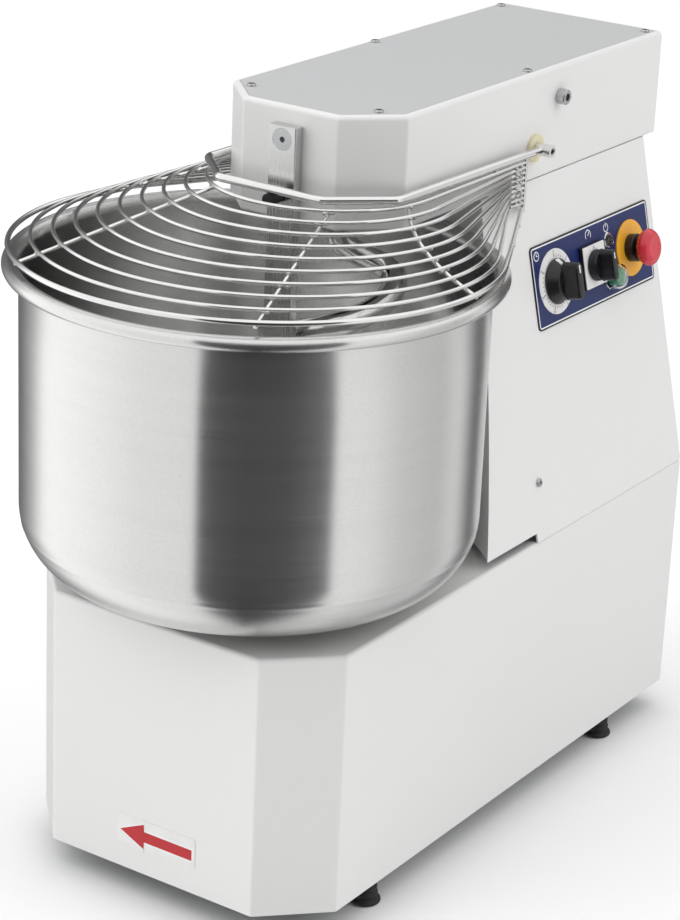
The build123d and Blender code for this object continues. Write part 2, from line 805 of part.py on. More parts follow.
with BuildPart() as counter_chain:
    add(
        chain(
            counter_big_teeth, (counter_x, counter_axis_y), main_low_teeth, (0, main_axis_y),
            small_chain_pitch, small_roller_radius, counter_chain_z,
        )
    )
pieces["counter_chain"] = counter_chain

counter_unit_height = counter_chain_z - sprocket_thick / 2 - 10 - 1 - floor_top
main_low_unit = counter_chain_z - sprocket_thick / 2 - 12 - floor_top


def bearing_unit(shaft, radius, height, flange_radius, x, y, z):
    """Flanged bearing unit standing on height z: a bolted flange with a round boss."""
    with BuildPart() as unit:
        with BuildSketch(Plane((x, y, z))):
            Circle(flange_radius)
            with PolarLocations((flange_radius + radius) / 2, 4, start_angle=45):
                Circle(3, mode=Mode.SUBTRACT)
        extrude(amount=8)
        with BuildSketch(Plane((x, y, z))):
            Circle(radius)
        extrude(amount=height)
        with BuildSketch(Plane((x, y, z - 1))):
            Circle(shaft + shaft_clearance)
        extrude(amount=height + 2, mode=Mode.SUBTRACT)
    return unit.part


# ---------------------------------------------------------------- main shaft and its drive
main_shaft_top = top_chain_z + 10
with BuildPart() as main_shaft:
    with BuildSketch(Plane((0, main_axis_y, floor_top + 6))):
        Circle(main_radius)
    extrude(amount=main_shaft_top - floor_top - 6)
    chamfer(main_shaft.edges().group_by(Axis.Z)[-1], 1.5)
pieces["main_shaft"] = main_shaft

with BuildPart() as flange_bearings:
    low_z = floor_top + 0.1
    add(bearing_unit(counter_radius, 26, counter_unit_height, 40, counter_x, counter_axis_y, low_z))
    add(bearing_unit(main_radius, 30, main_low_unit, 44, 0, main_axis_y, low_z))
    add(bearing_unit(main_radius, 30, unit_height, 46, 0, main_axis_y, arm_top + 0.1))
pieces["flange_bearings"] = flange_bearings

with BuildPart() as main_sprockets:
    add(
        sprocket(
            main_low_teeth, small_chain_pitch, small_roller_radius, main_radius + 0.02,
            0, main_axis_y, counter_chain_z,
        )
    )
    add(
        sprocket(
            main_top_teeth, chain_pitch, roller_radius, main_radius + 0.02,
            0, main_axis_y, top_chain_z, 22,
        )
    )
pieces["main_sprockets"] = main_sprockets

pulley_z = base_bottom + 440
pulley_width = 2 * groove_pitch + 2


def pulley(radius, bore, x, y, z, webbed):
    """Two-groove belt pulley centred on height z."""
    half = pulley_width / 2
    with BuildPart() as wheel:
        with BuildSketch(Plane((x, y, z), x_dir=(1, 0, 0), z_dir=(0, -1, 0))):
            with BuildLine():
                points = [(bore, -half), (radius, -half)]
                for middle in (-groove_pitch / 2, groove_pitch / 2):
                    points += [
                        (radius, middle - 6),
                        (radius - groove_depth, middle - 4.6),
                        (radius - groove_depth, middle + 4.6),
                        (radius, middle + 6),
                    ]
                points += [(radius, half), (bore, half)]
                Polyline(*points, close=True)
            make_face()
        revolve(axis=Axis((x, y, z), (0, 0, 1)))
        if webbed:
            for face_z, way in ((z + half, -1), (z - half, 1)):
                with BuildSketch(Plane((x, y, face_z))):
                    Circle(radius - groove_depth - 7)
                    Circle(bore + 12, mode=Mode.SUBTRACT)
                extrude(amount=way * (half - 4), mode=Mode.SUBTRACT)
            with BuildSketch(Plane((x, y, z - half))):
                with PolarLocations((radius + bore) / 2, 5):
                    Circle(12)
            extrude(amount=2 * half, mode=Mode.SUBTRACT)
    return wheel.part


with BuildPart() as main_pulley:
    add(pulley(main_pulley_radius, main_radius + 0.02, 0, main_axis_y, pulley_z, True))
pieces["main_pulley"] = main_pulley

with BuildPart() as motor_pulley:
    add(pulley(motor_pulley_radius, motor_shaft_radius + 0.02, 0, motor_axis_y, pulley_z, False))
pieces["motor_pulley"] = motor_pulley

belt_sink = 1.0
with BuildPart() as drive_belts:
    for middle in (-groove_pitch / 2, groove_pitch / 2):
        with BuildSketch(Plane.XY.offset(pulley_z + middle - belt_width / 2)):
            for sink, how in ((belt_sink, Mode.ADD), (belt_sink + belt_height, Mode.SUBTRACT)):
                with BuildSketch(mode=Mode.PRIVATE) as band:
                    with Locations((0, main_axis_y)):
                        Circle(main_pulley_radius - sink)
                    with Locations((0, motor_axis_y)):
                        Circle(motor_pulley_radius - sink)
                    make_hull()
                add(band.sketch, mode=how)
        extrude(amount=belt_width)
pieces["drive_belts"] = drive_belts

motor_top = pulley_z - pulley_width / 2 - 24
mount_thick = 8.0
mount_rear_y = body_rear_y - 10
with BuildPart() as motor_mount:
    with BuildSketch(Plane.XY.offset(motor_top + 0.1)):
        with Locations((0, bowl_y + (cheek_rear_y + 0.1 + mount_rear_y) / 2)):
            Rectangle(2 * cheek_x - 2, mount_rear_y - cheek_rear_y - 0.1)
        with Locations((0, motor_axis_y)):
            Circle(motor_shaft_radius + 8, mode=Mode.SUBTRACT)
        with Locations((-cheek_x - cheek_thick / 2 + 1, bowl_y + cheek_rear_y + 20)):
            Rectangle(cheek_thick + 2, 40)
        with Locations((cheek_x + cheek_thick / 2 - 1, bowl_y + cheek_rear_y + 20)):
            Rectangle(cheek_thick + 2, 40)
    extrude(amount=mount_thick)
pieces["motor_mount"] = motor_mount

with BuildPart() as motor_body:
    with BuildSketch(Plane((0, motor_axis_y, motor_top))):
        Circle(motor_radius)
        with PolarLocations(motor_radius, 36):
            Rectangle(6, 2.4, mode=Mode.SUBTRACT)
    extrude(amount=-motor_length)
    with BuildSketch(Plane((0, motor_axis_y, motor_top - motor_length))):
        Circle(motor_radius - 4)
    extrude(amount=-28)
    fillet(motor_body.faces().sort_by(Axis.Z)[0].edges(), 8)
    with BuildSketch(Plane((0, motor_axis_y, motor_top + 1))):
        Circle(motor_shaft_radius + shaft_clearance)
    extrude(amount=-61, mode=Mode.SUBTRACT)
pieces["motor_body"] = motor_body

with BuildPart() as motor_shaft:
    with BuildSketch(Plane((0, motor_axis_y, motor_top - 50))):
        Circle(motor_shaft_radius)
    extrude(amount=50 + pulley_z + pulley_width / 2 + 6 - motor_top)
    chamfer(motor_shaft.edges().group_by(Axis.Z)[-1], 1.2)
pieces["motor_shaft"] = motor_shaft

# ---------------------------------------------------------------- spiral and its spindle
spindle_radius = 15.0
spindle_bearing_radius = 31.0
housing_drop = 9.0               # housing's mouth below the head's underside
housing_bottom = head_bottom - housing_drop

with BuildPart() as spiral_housing:
    with BuildSketch(Plane.XY.offset(housing_bottom)):
        with Locations((0, spindle_y)):
            Circle(housing_radius)
            Circle(spindle_bearing_radius, mode=Mode.SUBTRACT)
    extrude(amount=arm_top + 12 - housing_bottom)
    with BuildSketch(Plane.XY.offset(arm_top + 0.1)):
        with Locations((0, spindle_y)):
            Circle(56)
            Circle(housing_radius - 1, mode=Mode.SUBTRACT)
            with PolarLocations(48, 6):
                Circle(3, mode=Mode.SUBTRACT)
    extrude(amount=8)
    fillet(spiral_housing.edges().group_by(Axis.Z)[0].sort_by(SortBy.RADIUS)[-1], 2)
pieces["spiral_housing"] = spiral_housing

seal_height = 4.0
with BuildPart() as spiral_seal:
    with BuildSketch(Plane.XY.offset(housing_bottom + 0.5)):
        with Locations((0, spindle_y)):
            Circle(spindle_bearing_radius - 0.02)
            Circle(spindle_radius + shaft_clearance, mode=Mode.SUBTRACT)
    extrude(amount=seal_height)
pieces["spiral_seal"] = spiral_seal

with BuildPart() as ball_bearings:
    for z in (bowl_housing_bottom + 4, base_top - bearing_width - 2):
        bore = bowl_shaft_radius + shaft_clearance
        add(ball_bearing(bore, bowl_bearing_radius - 0.02, bearing_width, 0, bowl_y, z))
    for z in (housing_bottom + seal_height + 1, arm_top - 3):
        bore = spindle_radius + shaft_clearance
        add(ball_bearing(bore, spindle_bearing_radius - 0.02, 14, 0, spindle_y, z))
pieces["ball_bearings"] = ball_bearings

spindle_top = top_chain_z + 12
rod_top = housing_bottom - 14
tip_z = bowl_bottom + bowl_floor + spiral_floor_gap + spiral_rod
coil_drop = spiral_pitch * spiral_turns
coil_top = tip_z + coil_drop
coil_start = 35.0                # bearing of the coil's upper end, in degrees from +X
arm_drop = 52.0                  # height of the bend between rod and coil
coil_slope = atan(spiral_pitch / (2 * pi * spiral_coil_radius))
end_turn = coil_start - 360 * spiral_turns
coil_line = Helix(pitch=spiral_pitch, height=coil_drop, radius=spiral_coil_radius)
coil_line = (Location((0, spindle_y, tip_z), (0, 0, end_turn)) * coil_line).edge()


def on_coil(turn_deg, z):
    """A point on the coil's centre line at a bearing and a height."""
    return (
        spiral_coil_radius * cos(radians(turn_deg)),
        spindle_y + spiral_coil_radius * sin(radians(turn_deg)),
        z,
    )


with BuildPart() as spiral:
    with BuildSketch(Plane.XY.offset(rod_top)):
        with Locations((0, spindle_y)):
            Circle(spindle_radius)
    extrude(amount=spindle_top - rod_top)
    chamfer(spiral.edges().group_by(Axis.Z)[-1], 1.5)
    arm_start = Vector(0, spindle_y, coil_top + arm_drop)
    with BuildSketch(Plane(arm_start)):
        Circle(spiral_rod)
    extrude(amount=rod_top - arm_start.Z + 0.01)
    coil_direction = Vector(
        sin(radians(coil_start)) * cos(coil_slope),
        -cos(radians(coil_start)) * cos(coil_slope),
        -sin(coil_slope),
    )
    with BuildLine() as arm_line:
        Spline(
            arm_start,
            on_coil(coil_start, coil_top),
            tangents=[(0, 0, -1), coil_direction],
            tangent_scalars=[1.1, 1.5],
        )
    with BuildSketch(Plane(arm_start, z_dir=(0, 0, -1))):
        Circle(spiral_rod)
    sweep(path=arm_line.line)
    with BuildSketch(Plane(coil_line @ 0, z_dir=coil_line % 0)):
        Circle(spiral_rod)
    sweep(path=coil_line, is_frenet=True)
    with Locations(on_coil(end_turn, tip_z)):
        Sphere(spiral_rod)
pieces["spiral"] = spiral

with BuildPart() as spiral_sprocket:
    add(
        sprocket(
            spiral_teeth, chain_pitch, roller_radius, spindle_radius + 0.02, 0, spindle_y, top_chain_z, 24
        )
    )
pieces["spiral_sprocket"] = spiral_sprocket

with BuildPart() as spiral_chain:
    add(
        chain(
            spiral_teeth, (0, spindle_y), main_top_teeth, (0, main_axis_y),
            chain_pitch, roller_radius, top_chain_z,
        )
    )
pieces["spiral_chain"] = spiral_chain

# ---------------------------------------------------------------- breaker bar
bar_top = head_bottom + bar_above_head_bottom
bar_bottom = bowl_bottom + bowl_floor + bar_floor_gap
bar_face = head_front - bar_thick
bar_screw_z = bar_top - bar_screw_drop
bar_screw_radius = 6.0
bar_screw_head = 11.0
backing_thick = 10.0

with BuildPart() as breaker_bar:
    with BuildSketch(Plane((0, head_front - 0.05, 0), x_dir=(1, 0, 0), z_dir=(0, -1, 0))):
        with Locations((0, (bar_top + bar_bottom) / 2)):
            Rectangle(bar_width, bar_top - bar_bottom)
    extrude(amount=bar_thick - 0.05)
    chamfer(breaker_bar.edges().group_by(Axis.Z)[0].filter_by(Axis.Y), 8)
    fillet(breaker_bar.edges().filter_by(Axis.Z), 1.2)
    with BuildSketch(Plane((0, bar_face, bar_screw_z), x_dir=(1, 0, 0), z_dir=(0, 1, 0))):
        Circle(bar_screw_radius + 0.2)
    extrude(amount=bar_thick + 1, mode=Mode.SUBTRACT)
    with BuildSketch(Plane((0, bar_face, bar_screw_z), x_dir=(1, 0, 0), z_dir=(0, 1, 0))):
        Circle(bar_screw_head + 0.2)
    extrude(amount=bar_screw_head - bar_screw_radius, taper=45, mode=Mode.SUBTRACT)
pieces["breaker_bar"] = breaker_bar

with BuildPart() as bar_backing:
    with BuildSketch(Plane((0, head_front + sheet + 0.1, 0), x_dir=(1, 0, 0), z_dir=(0, 1, 0))):
        with Locations((0, -bar_screw_z)):
            Rectangle(56, 32)
            Circle(bar_screw_radius + 0.1, mode=Mode.SUBTRACT)
    extrude(amount=backing_thick)
pieces["bar_backing"] = bar_backing

with BuildPart() as bar_screw:
    with BuildSketch(Plane((0, bar_face + 0.2, bar_screw_z), x_dir=(1, 0, 0), z_dir=(0, 1, 0))):
        Circle(bar_screw_head)
    extrude(amount=bar_screw_head - bar_screw_radius, taper=45)
    with BuildSketch(Plane((0, bar_face + 1, bar_screw_z), x_dir=(1, 0, 0), z_dir=(0, 1, 0))):
        Circle(bar_screw_radius)
    extrude(amount=bar_thick + sheet + backing_thick - 1)
    with BuildSketch(Plane((0, bar_face, bar_screw_z), x_dir=(1, 0, 0), z_dir=(0, 1, 0))):
        RegularPolygon(radius=3.2, side_count=6)
    extrude(amount=5, mode=Mode.SUBTRACT)
pieces["bar_screw"] = bar_screw
with head_shell:
    with BuildSketch(Plane((0, head_front - 1, bar_screw_z), x_dir=(1, 0, 0), z_dir=(0, 1, 0))):
        Circle(bar_screw_radius + 0.2)
    extrude(amount=sheet + 2, mode=Mode.SUBTRACT)

stop_radius = 6.0
frame_rise = 4.0                 # front of the guard's frame wire above the pivot
stop_z = pivot_z + frame_rise - guard_frame_rod - stop_radius - 0.1
stop_reach = guard_front_gap - bar_thick + 4
with BuildPart() as guard_stop:
    with BuildSketch(Plane((0, bar_face, stop_z), x_dir=(1, 0, 0), z_dir=(0, -1, 0))):
        Circle(stop_radius)
    extrude(amount=stop_reach)
    fillet(guard_stop.faces().sort_by(Axis.Y)[0].edges(), 1.2)
pieces["guard_stop"] = guard_stop

# ---------------------------------------------------------------- wire guard
frame_x = head_half_width + guard_head_gap
frame_front_y = head_front - guard_front_gap
frame_chamfer = 53.0
boss_inner = head_half_width + washer_thick + 0.4
boss_outer = boss_inner + pivot_boss_length
comb_y = bowl_y + guard_comb_y
inner_ring_radius = frame_x + 4
inner_centre = head_front_y - guard_front_gap - inner_wire_lead + inner_ring_radius
ring_front_z = bowl_top + guard_ring_rise
comb_low_z = pivot_z - 54
comb_high_z = pivot_z - 6.5
wire_front_rise = 41.0           # innermost wire above the outer ring, at the front
guard_bend_radius = 14.0


def guard_wire_path(step):
    """Plan of one guard wire, from side bar to side bar: step 0 is the outer ring, 1 the innermost."""
    radius = guard_ring_radius + (inner_ring_radius - guard_ring_radius) * step
    centre_y = bowl_y + inner_centre * step
    front = Vector(0, centre_y - radius, ring_front_z + wire_front_rise * step)
    rear_z = comb_low_z + (comb_high_z - comb_low_z) * step
    tilt = atan2(rear_z - front.Z, comb_y - front.Y)
    plane = Plane(front, x_dir=(1, 0, 0), z_dir=(0, -sin(tilt), cos(tilt)))
    depth = hypot(rear_z - front.Z, comb_y - front.Y)
    stub = guard_stub if step > 0 else 0.0
    bend = (frame_x, depth - stub)
    reach = hypot(bend[0], bend[1] - radius)
    touch = atan2(bend[1] - radius, bend[0]) - acos(min(1.0, radius / reach))
    side = (radius * cos(touch), radius + radius * sin(touch))
    return plane, depth, bend, side


with BuildPart() as guard_wires:
    for index in range(guard_wire_count + 1):
        rod = guard_rod if index else guard_ring_rod
        plane, depth, bend, side = guard_wire_path(index / guard_wire_count)
        with BuildLine(plane) as wire_line:
            if index:
                FilletPolyline((frame_x, depth), bend, side, radius=guard_bend_radius)
                FilletPolyline(
                    (-side[0], side[1]), (-bend[0], bend[1]), (-frame_x, depth), radius=guard_bend_radius
                )
            else:
                Line((frame_x, depth), side)
                Line((-side[0], side[1]), (-frame_x, depth))
            ThreePointArc(side, (0, 0), (-side[0], side[1]))
        path = Wire(wire_line.wires()[0].edges())
        with BuildSketch(Plane(path @ 0, z_dir=path % 0)):
            Circle(rod)
        sweep(path=path)
pieces["guard_wires"] = guard_wires

with BuildPart() as guard_frame:
    frame_length = hypot(pivot_y - frame_front_y, frame_rise)
    frame_tilt = atan2(-frame_rise, pivot_y - frame_front_y)
    frame_plane = Plane(
        (0, frame_front_y, pivot_z + frame_rise),
        x_dir=(1, 0, 0),
        z_dir=(0, -sin(frame_tilt), cos(frame_tilt)),
    )
    with BuildLine(frame_plane) as frame_line:
        FilletPolyline(
            (frame_x, frame_length - pivot_boss_radius + 1),
            (frame_x, frame_chamfer),
            (frame_x - frame_chamfer, 0),
            (-frame_x + frame_chamfer, 0),
            (-frame_x, frame_chamfer),
            (-frame_x, frame_length - pivot_boss_radius + 1),
            radius=12,
        )
    with BuildSketch(Plane(frame_line.line @ 0, z_dir=frame_line.line % 0)):
        Circle(guard_frame_rod)
    sweep(path=frame_line.line)
    for way in (-1, 1):
        with BuildSketch(Plane((way * boss_inner, pivot_y, pivot_z), x_dir=(0, 1, 0), z_dir=(way, 0, 0))):
            Circle(pivot_boss_radius)
        extrude(amount=pivot_boss_length)
        with BuildSketch(Plane((way * boss_inner, pivot_y, pivot_z), x_dir=(0, 1, 0), z_dir=(way, 0, 0))):
            Circle(pivot_pin_radius + shaft_clearance)
        extrude(amount=pivot_boss_length, mode=Mode.SUBTRACT)
pieces["guard_frame"] = guard_frame


def wire_point(step, bearing_deg, sink):
    """Point on the guard at a bearing from the front, sunk below the wires' centre lines."""
    radius = guard_ring_radius + (inner_ring_radius - guard_ring_radius) * step
    plane = guard_wire_path(step)[0]
    local = (radius * sin(radians(bearing_deg)), radius - radius * cos(radians(bearing_deg)), -sink)
    return plane.from_local_coords(local)


rib_sink = guard_rod * 1.75
front_rib_bearing = 35.5
side_rib_bearings = (94.0, 81.5, 77.0)
with BuildPart() as guard_ribs:
    for bearings in ((front_rib_bearing,) * 3, side_rib_bearings):
        for way in (-1, 1):
            ends = [
                wire_point(step, way * bearing, rib_sink) for step, bearing in zip((0, 0.5, 1), bearings)
            ]
            with BuildLine() as rib_line:
                Spline(*ends)
            with BuildSketch(Plane(rib_line.line @ 0, z_dir=rib_line.line % 0)):
                Circle(guard_rod)
            sweep(path=rib_line.line)
    for way in (-1, 1):
        with BuildSketch(Plane((way * frame_x, comb_y, comb_low_z - 4))):
            Circle(guard_ring_rod)
        extrude(amount=pivot_z - comb_low_z + 2)
pieces["guard_ribs"] = guard_ribs

with BuildPart() as guard_washers:
    for way in (-1, 1):
        place = (way * (head_half_width + 0.1), pivot_y, pivot_z)
        with BuildSketch(Plane(place, x_dir=(0, 1, 0), z_dir=(way, 0, 0))):
            Circle(washer_radius)
            Circle(pivot_pin_radius + shaft_clearance, mode=Mode.SUBTRACT)
        extrude(amount=washer_thick)
    fillet(guard_washers.edges().filter_by(lambda e: abs(e.center().X) > head_half_width + 3), 0.6)
pieces["guard_washers"] = guard_washers

with BuildPart() as guard_pins:
    for way in (-1, 1):
        place = (way * (boss_outer - 0.6), pivot_y, pivot_z)
        with BuildSketch(Plane(place, x_dir=(0, 1, 0), z_dir=(-way, 0, 0))):
            Circle(pivot_pin_radius)
        extrude(amount=boss_outer - head_half_width + sheet + 12)
        with BuildSketch(Plane(place, x_dir=(0, 1, 0), z_dir=(-way, 0, 0))):
            RegularPolygon(radius=2.8, side_count=6)
        extrude(amount=5, mode=Mode.SUBTRACT)
        nut_place = (way * (head_half_width - sheet - 0.1), pivot_y, pivot_z)
        with BuildSketch(Plane(nut_place, x_dir=(0, 1, 0), z_dir=(-way, 0, 0))):
            RegularPolygon(radius=7, side_count=6)
        extrude(amount=6.5)
pieces["guard_pins"] = guard_pins

# ---------------------------------------------------------------- control panel
panel_sheet = 1.2
with BuildPart() as panel_plate:
    with BuildSketch(side_plane(0, 0, 0.1)):
        RectangleRounded(panel_length, panel_height, 5)
    extrude(amount=panel_sheet)
    for u, v, hole in control_holes:
        with BuildSketch(side_plane(u, v, 2 * panel_sheet)):
            Circle(hole)
        extrude(amount=-3 * panel_sheet, mode=Mode.SUBTRACT)
pieces["panel_plate"] = panel_plate

face = 0.1 + panel_sheet + 0.1    # height of what sits on the panel, above the casing
dial_radius = 34.0
with BuildPart() as timer_dial:
    with BuildSketch(side_plane(timer_u, 0, face)):
        Circle(dial_radius)
        Circle(4.5, mode=Mode.SUBTRACT)
    extrude(amount=0.8)
pieces["timer_dial"] = timer_dial

knob_radius = 24.0
knob_base = face + 0.8 + 0.4
timer_shaft_radius = 3.0
with BuildPart() as timer_knob:
    with BuildSketch(side_plane(timer_u, 0, knob_base)):
        Circle(knob_radius)
    extrude(amount=12, taper=12)
    with BuildSketch(side_plane(timer_u, 0, knob_base + 11.9)):
        SlotOverall(2 * knob_radius - 8, 13, rotation=90)
    extrude(amount=17, taper=4)
    fillet(timer_knob.faces().sort_by(Axis((0, 0, 0), (1, 0, 0)))[-1].edges(), 1.5)
    with BuildSketch(side_plane(timer_u, 0, knob_base + 1)):
        Circle(timer_shaft_radius + 0.02)
    extrude(amount=9, mode=Mode.SUBTRACT)
    with BuildSketch(side_plane(timer_u, 0, knob_base - 0.5)):
        Circle(timer_shaft_radius + 0.02)
    extrude(amount=9, mode=Mode.SUBTRACT)
pieces["timer_knob"] = timer_knob

selector_size = 46.0
with BuildPart() as selector_plate:
    with BuildSketch(side_plane(selector_u, 0, face)):
        RectangleRounded(selector_size, selector_size, 2)
        Circle(5, mode=Mode.SUBTRACT)
    extrude(amount=5)
    fillet(selector_plate.faces().sort_by(Axis((0, 0, 0), (1, 0, 0)))[-1].edges(), 0.8)
pieces["selector_plate"] = selector_plate

selector_base = face + 5 + 0.4
with BuildPart() as selector_knob:
    with BuildSketch(side_plane(selector_u, 0, selector_base)):
        Circle(17)
    extrude(amount=9, taper=8)
    with BuildSketch(side_plane(selector_u, 0, selector_base + 8.9)):
        SlotOverall(31, 10, rotation=90)
    extrude(amount=15, taper=4)
    fillet(selector_knob.faces().sort_by(Axis((0, 0, 0), (1, 0, 0)))[-1].edges(), 1.2)
    with BuildSketch(side_plane(selector_u, 0, selector_base - 0.5)):
        Circle(timer_shaft_radius + 0.02)
    extrude(amount=9, mode=Mode.SUBTRACT)
pieces["selector_knob"] = selector_knob

with BuildPart() as power_lamp:
    with BuildSketch(side_plane(lamp_u, lamp_v, face)):
        Circle(8)
    extrude(amount=2)
    with BuildSketch(side_plane(lamp_u, lamp_v, face + 2)):
        Circle(6)
    extrude(amount=3.5)
    fillet(power_lamp.faces().sort_by(Axis((0, 0, 0), (1, 0, 0)))[-1].edges(), 2)
    with BuildSketch(side_plane(lamp_u, lamp_v, face)):
        Circle(5.3)
    extrude(amount=-16)
pieces["power_lamp"] = power_lamp

bezel_radius = 13.5
cap_radius = 9.5
start_travel = 4.0
with BuildPart() as start_bezel:
    with BuildSketch(side_plane(lamp_u, start_v, face)):
        Circle(bezel_radius)
    extrude(amount=6, taper=6)
    with BuildSketch(side_plane(lamp_u, start_v, face)):
        Circle(11)
    extrude(amount=-14)
    with BuildSketch(side_plane(lamp_u, start_v, face + 8)):
        Circle(cap_radius + 0.35)
    extrude(amount=-8 - start_travel - 4, mode=Mode.SUBTRACT)
    with BuildSketch(side_plane(lamp_u, start_v, face + 8)):
        Circle(3.2)
    extrude(amount=-30, mode=Mode.SUBTRACT)
pieces["start_bezel"] = start_bezel

with BuildPart() as start_button:
    with BuildSketch(side_plane(lamp_u, start_v, face + 1)):
        Circle(cap_radius)
    extrude(amount=12)
    fillet(start_button.faces().sort_by(Axis((0, 0, 0), (1, 0, 0)))[-1].edges(), 3)
    with BuildSketch(side_plane(lamp_u, start_v, face + 1.5)):
        Circle(2.8)
    extrude(amount=-16)
pieces["start_button"] = start_button

disc_radius = 30.5
collar_radius = 15.0
with BuildPart() as estop_disc:
    with BuildSketch(side_plane(estop_u, 0, face)):
        Circle(disc_radius)
        Circle(11.3, mode=Mode.SUBTRACT)
    extrude(amount=1.6)
    fillet(estop_disc.faces().sort_by(Axis((0, 0, 0), (1, 0, 0)))[-1].edges(), 0.5)
pieces["estop_disc"] = estop_disc

estop_base = face + 1.6 + 0.1
estop_travel = 5.0
stem_radius = 7.5
with BuildPart() as estop_collar:
    with BuildSketch(side_plane(estop_u, 0, estop_base)):
        Circle(collar_radius)
    extrude(amount=9)
    chamfer(estop_collar.faces().sort_by(Axis((0, 0, 0), (1, 0, 0)))[-1].edges(), 1)
    with BuildSketch(side_plane(estop_u, 0, estop_base)):
        Circle(11)
    extrude(amount=-16)
    with BuildSketch(side_plane(estop_u, 0, estop_base + 10)):
        Circle(stem_radius + 0.35)
    extrude(amount=-40, mode=Mode.SUBTRACT)
pieces["estop_collar"] = estop_collar

cap_base = estop_base + 9 + estop_travel + 1.5
with BuildPart() as estop_stem:
    with BuildSketch(side_plane(estop_u, 0, estop_base - 8)):
        Circle(stem_radius)
    extrude(amount=cap_base - estop_base + 8 - 0.1)
    with BuildSketch(side_plane(estop_u, 0, cap_base - 0.2)):
        Circle(3)
    extrude(amount=8)
pieces["estop_stem"] = estop_stem

estop_cap_radius = 20.0
with BuildPart() as estop_cap:
    with BuildSketch(side_plane(estop_u, 0, cap_base)):
        Circle(estop_cap_radius - 3)
    extrude(amount=5, taper=-30)
    with BuildSketch(side_plane(estop_u, 0, cap_base + 4.9)):
        Circle(estop_cap_radius)
    extrude(amount=9)
    fillet(estop_cap.faces().sort_by(Axis((0, 0, 0), (1, 0, 0)))[-1].edges(), 5)
    with BuildSketch(side_plane(estop_u, 0, cap_base - 1)):
        Circle(3 + shaft_clearance)
    extrude(amount=9.2, mode=Mode.SUBTRACT)
pieces["estop_cap"] = estop_cap

switches = (
    (timer_u, 44, 22, knob_base + 8),
    (selector_u, 38, 40, selector_base + 8),
)
with BuildPart() as switch_bodies:
    for u, width, depth, shaft_end in switches:
        with BuildSketch(side_plane(u, 0, -sheet - 0.2)):
            Rectangle(width, 44)
        extrude(amount=-depth)
        with BuildSketch(side_plane(u, 0, -sheet - 1)):
            Circle(timer_shaft_radius)
        extrude(amount=shaft_end + sheet + 1)
pieces["switch_bodies"] = switch_bodies

# ---------------------------------------------------------------- direction label
with BuildPart() as direction_label:
    front = bowl_y + base_front_y
    with BuildSketch(Plane((0, front - 0.05, base_bottom + 43.5), x_dir=(1, 0, 0), z_dir=(0, -1, 0))):
        with Locations((7, 0)):
            RectangleRounded(96, 32, 2)
    extrude(amount=0.4)
pieces["direction_label"] = direction_label

for label, piece in pieces.items():
    piece.part.label = label
    export_step(piece.part, f"parts/{label}.step")
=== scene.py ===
"""Looks of a spiral dough mixer: spun bowl, spiral, wire guard, painted casings and a control panel.

Run as a script. It is laid out as an add-on: settings, one operator for each piece or group, and a panel.
"""
import json
from math import cos, pi, radians, sin

import bmesh
import bpy
import numpy as np
from mathutils import Matrix, Vector
from mathutils.bvhtree import BVHTree


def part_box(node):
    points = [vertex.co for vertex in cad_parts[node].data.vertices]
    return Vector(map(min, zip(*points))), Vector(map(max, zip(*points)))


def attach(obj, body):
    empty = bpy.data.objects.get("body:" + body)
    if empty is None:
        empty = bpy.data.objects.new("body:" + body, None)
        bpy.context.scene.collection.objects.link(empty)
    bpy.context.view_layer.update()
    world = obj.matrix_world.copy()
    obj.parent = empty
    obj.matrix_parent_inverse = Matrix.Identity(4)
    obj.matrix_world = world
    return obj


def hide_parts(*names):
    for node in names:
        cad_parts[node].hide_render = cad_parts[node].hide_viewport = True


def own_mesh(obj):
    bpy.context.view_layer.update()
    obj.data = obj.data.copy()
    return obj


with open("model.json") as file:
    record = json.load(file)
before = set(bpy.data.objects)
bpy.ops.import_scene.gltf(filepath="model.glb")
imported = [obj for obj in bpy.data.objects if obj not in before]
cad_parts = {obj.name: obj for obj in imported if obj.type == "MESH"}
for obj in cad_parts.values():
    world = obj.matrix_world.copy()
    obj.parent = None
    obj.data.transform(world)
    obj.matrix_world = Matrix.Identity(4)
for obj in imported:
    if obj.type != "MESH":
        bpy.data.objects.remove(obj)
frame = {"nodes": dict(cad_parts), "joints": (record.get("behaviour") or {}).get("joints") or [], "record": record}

bl_info = {
    "name": "Spiral dough mixer",
    "version": (1, 0, 0),
    "blender": (4, 5, 0),
    "location": "View3D > Sidebar > Mixer",
    "description": "Builds the finished surfaces and materials of a spiral dough mixer",
    "category": "Object",
}

mm = 0.001
root_body = "machine"

# ---------------------------------------------------------------- places taken from the frame
joints = {joint["name"]: joint for joint in frame["joints"]}
bowl_low, bowl_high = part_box("bowl")
bowl_centre = Vector((0, (bowl_low.y + bowl_high.y) / 2, 0))
bowl_rim_radius = (bowl_high.x - bowl_low.x) / 2
panel_normal = -Vector(joints["timer_turn"]["axis"])
panel_up = Vector((-panel_normal.z, 0, panel_normal.x))
timer_place = Vector(joints["timer_turn"]["pos_m"])
selector_place = Vector(joints["speed_turn"]["pos_m"])


def middle(node):
    """Middle of a CAD node's box."""
    low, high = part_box(node)
    return (low + high) / 2


def panel_matrix(place):
    """Placement on the control panel: x along the machine, y up the slope, z out of the panel."""
    turn = Matrix((Vector((0, 1, 0)), panel_up, panel_normal)).transposed()
    return Matrix.Translation(place) @ turn.to_4x4()


def on_panel(node, below):
    """The point under a round node's middle on the panel, at the height of its lowest face."""
    centre = middle(node)
    offset = (centre - timer_place).dot(panel_normal)
    return centre - panel_normal * (offset - below)


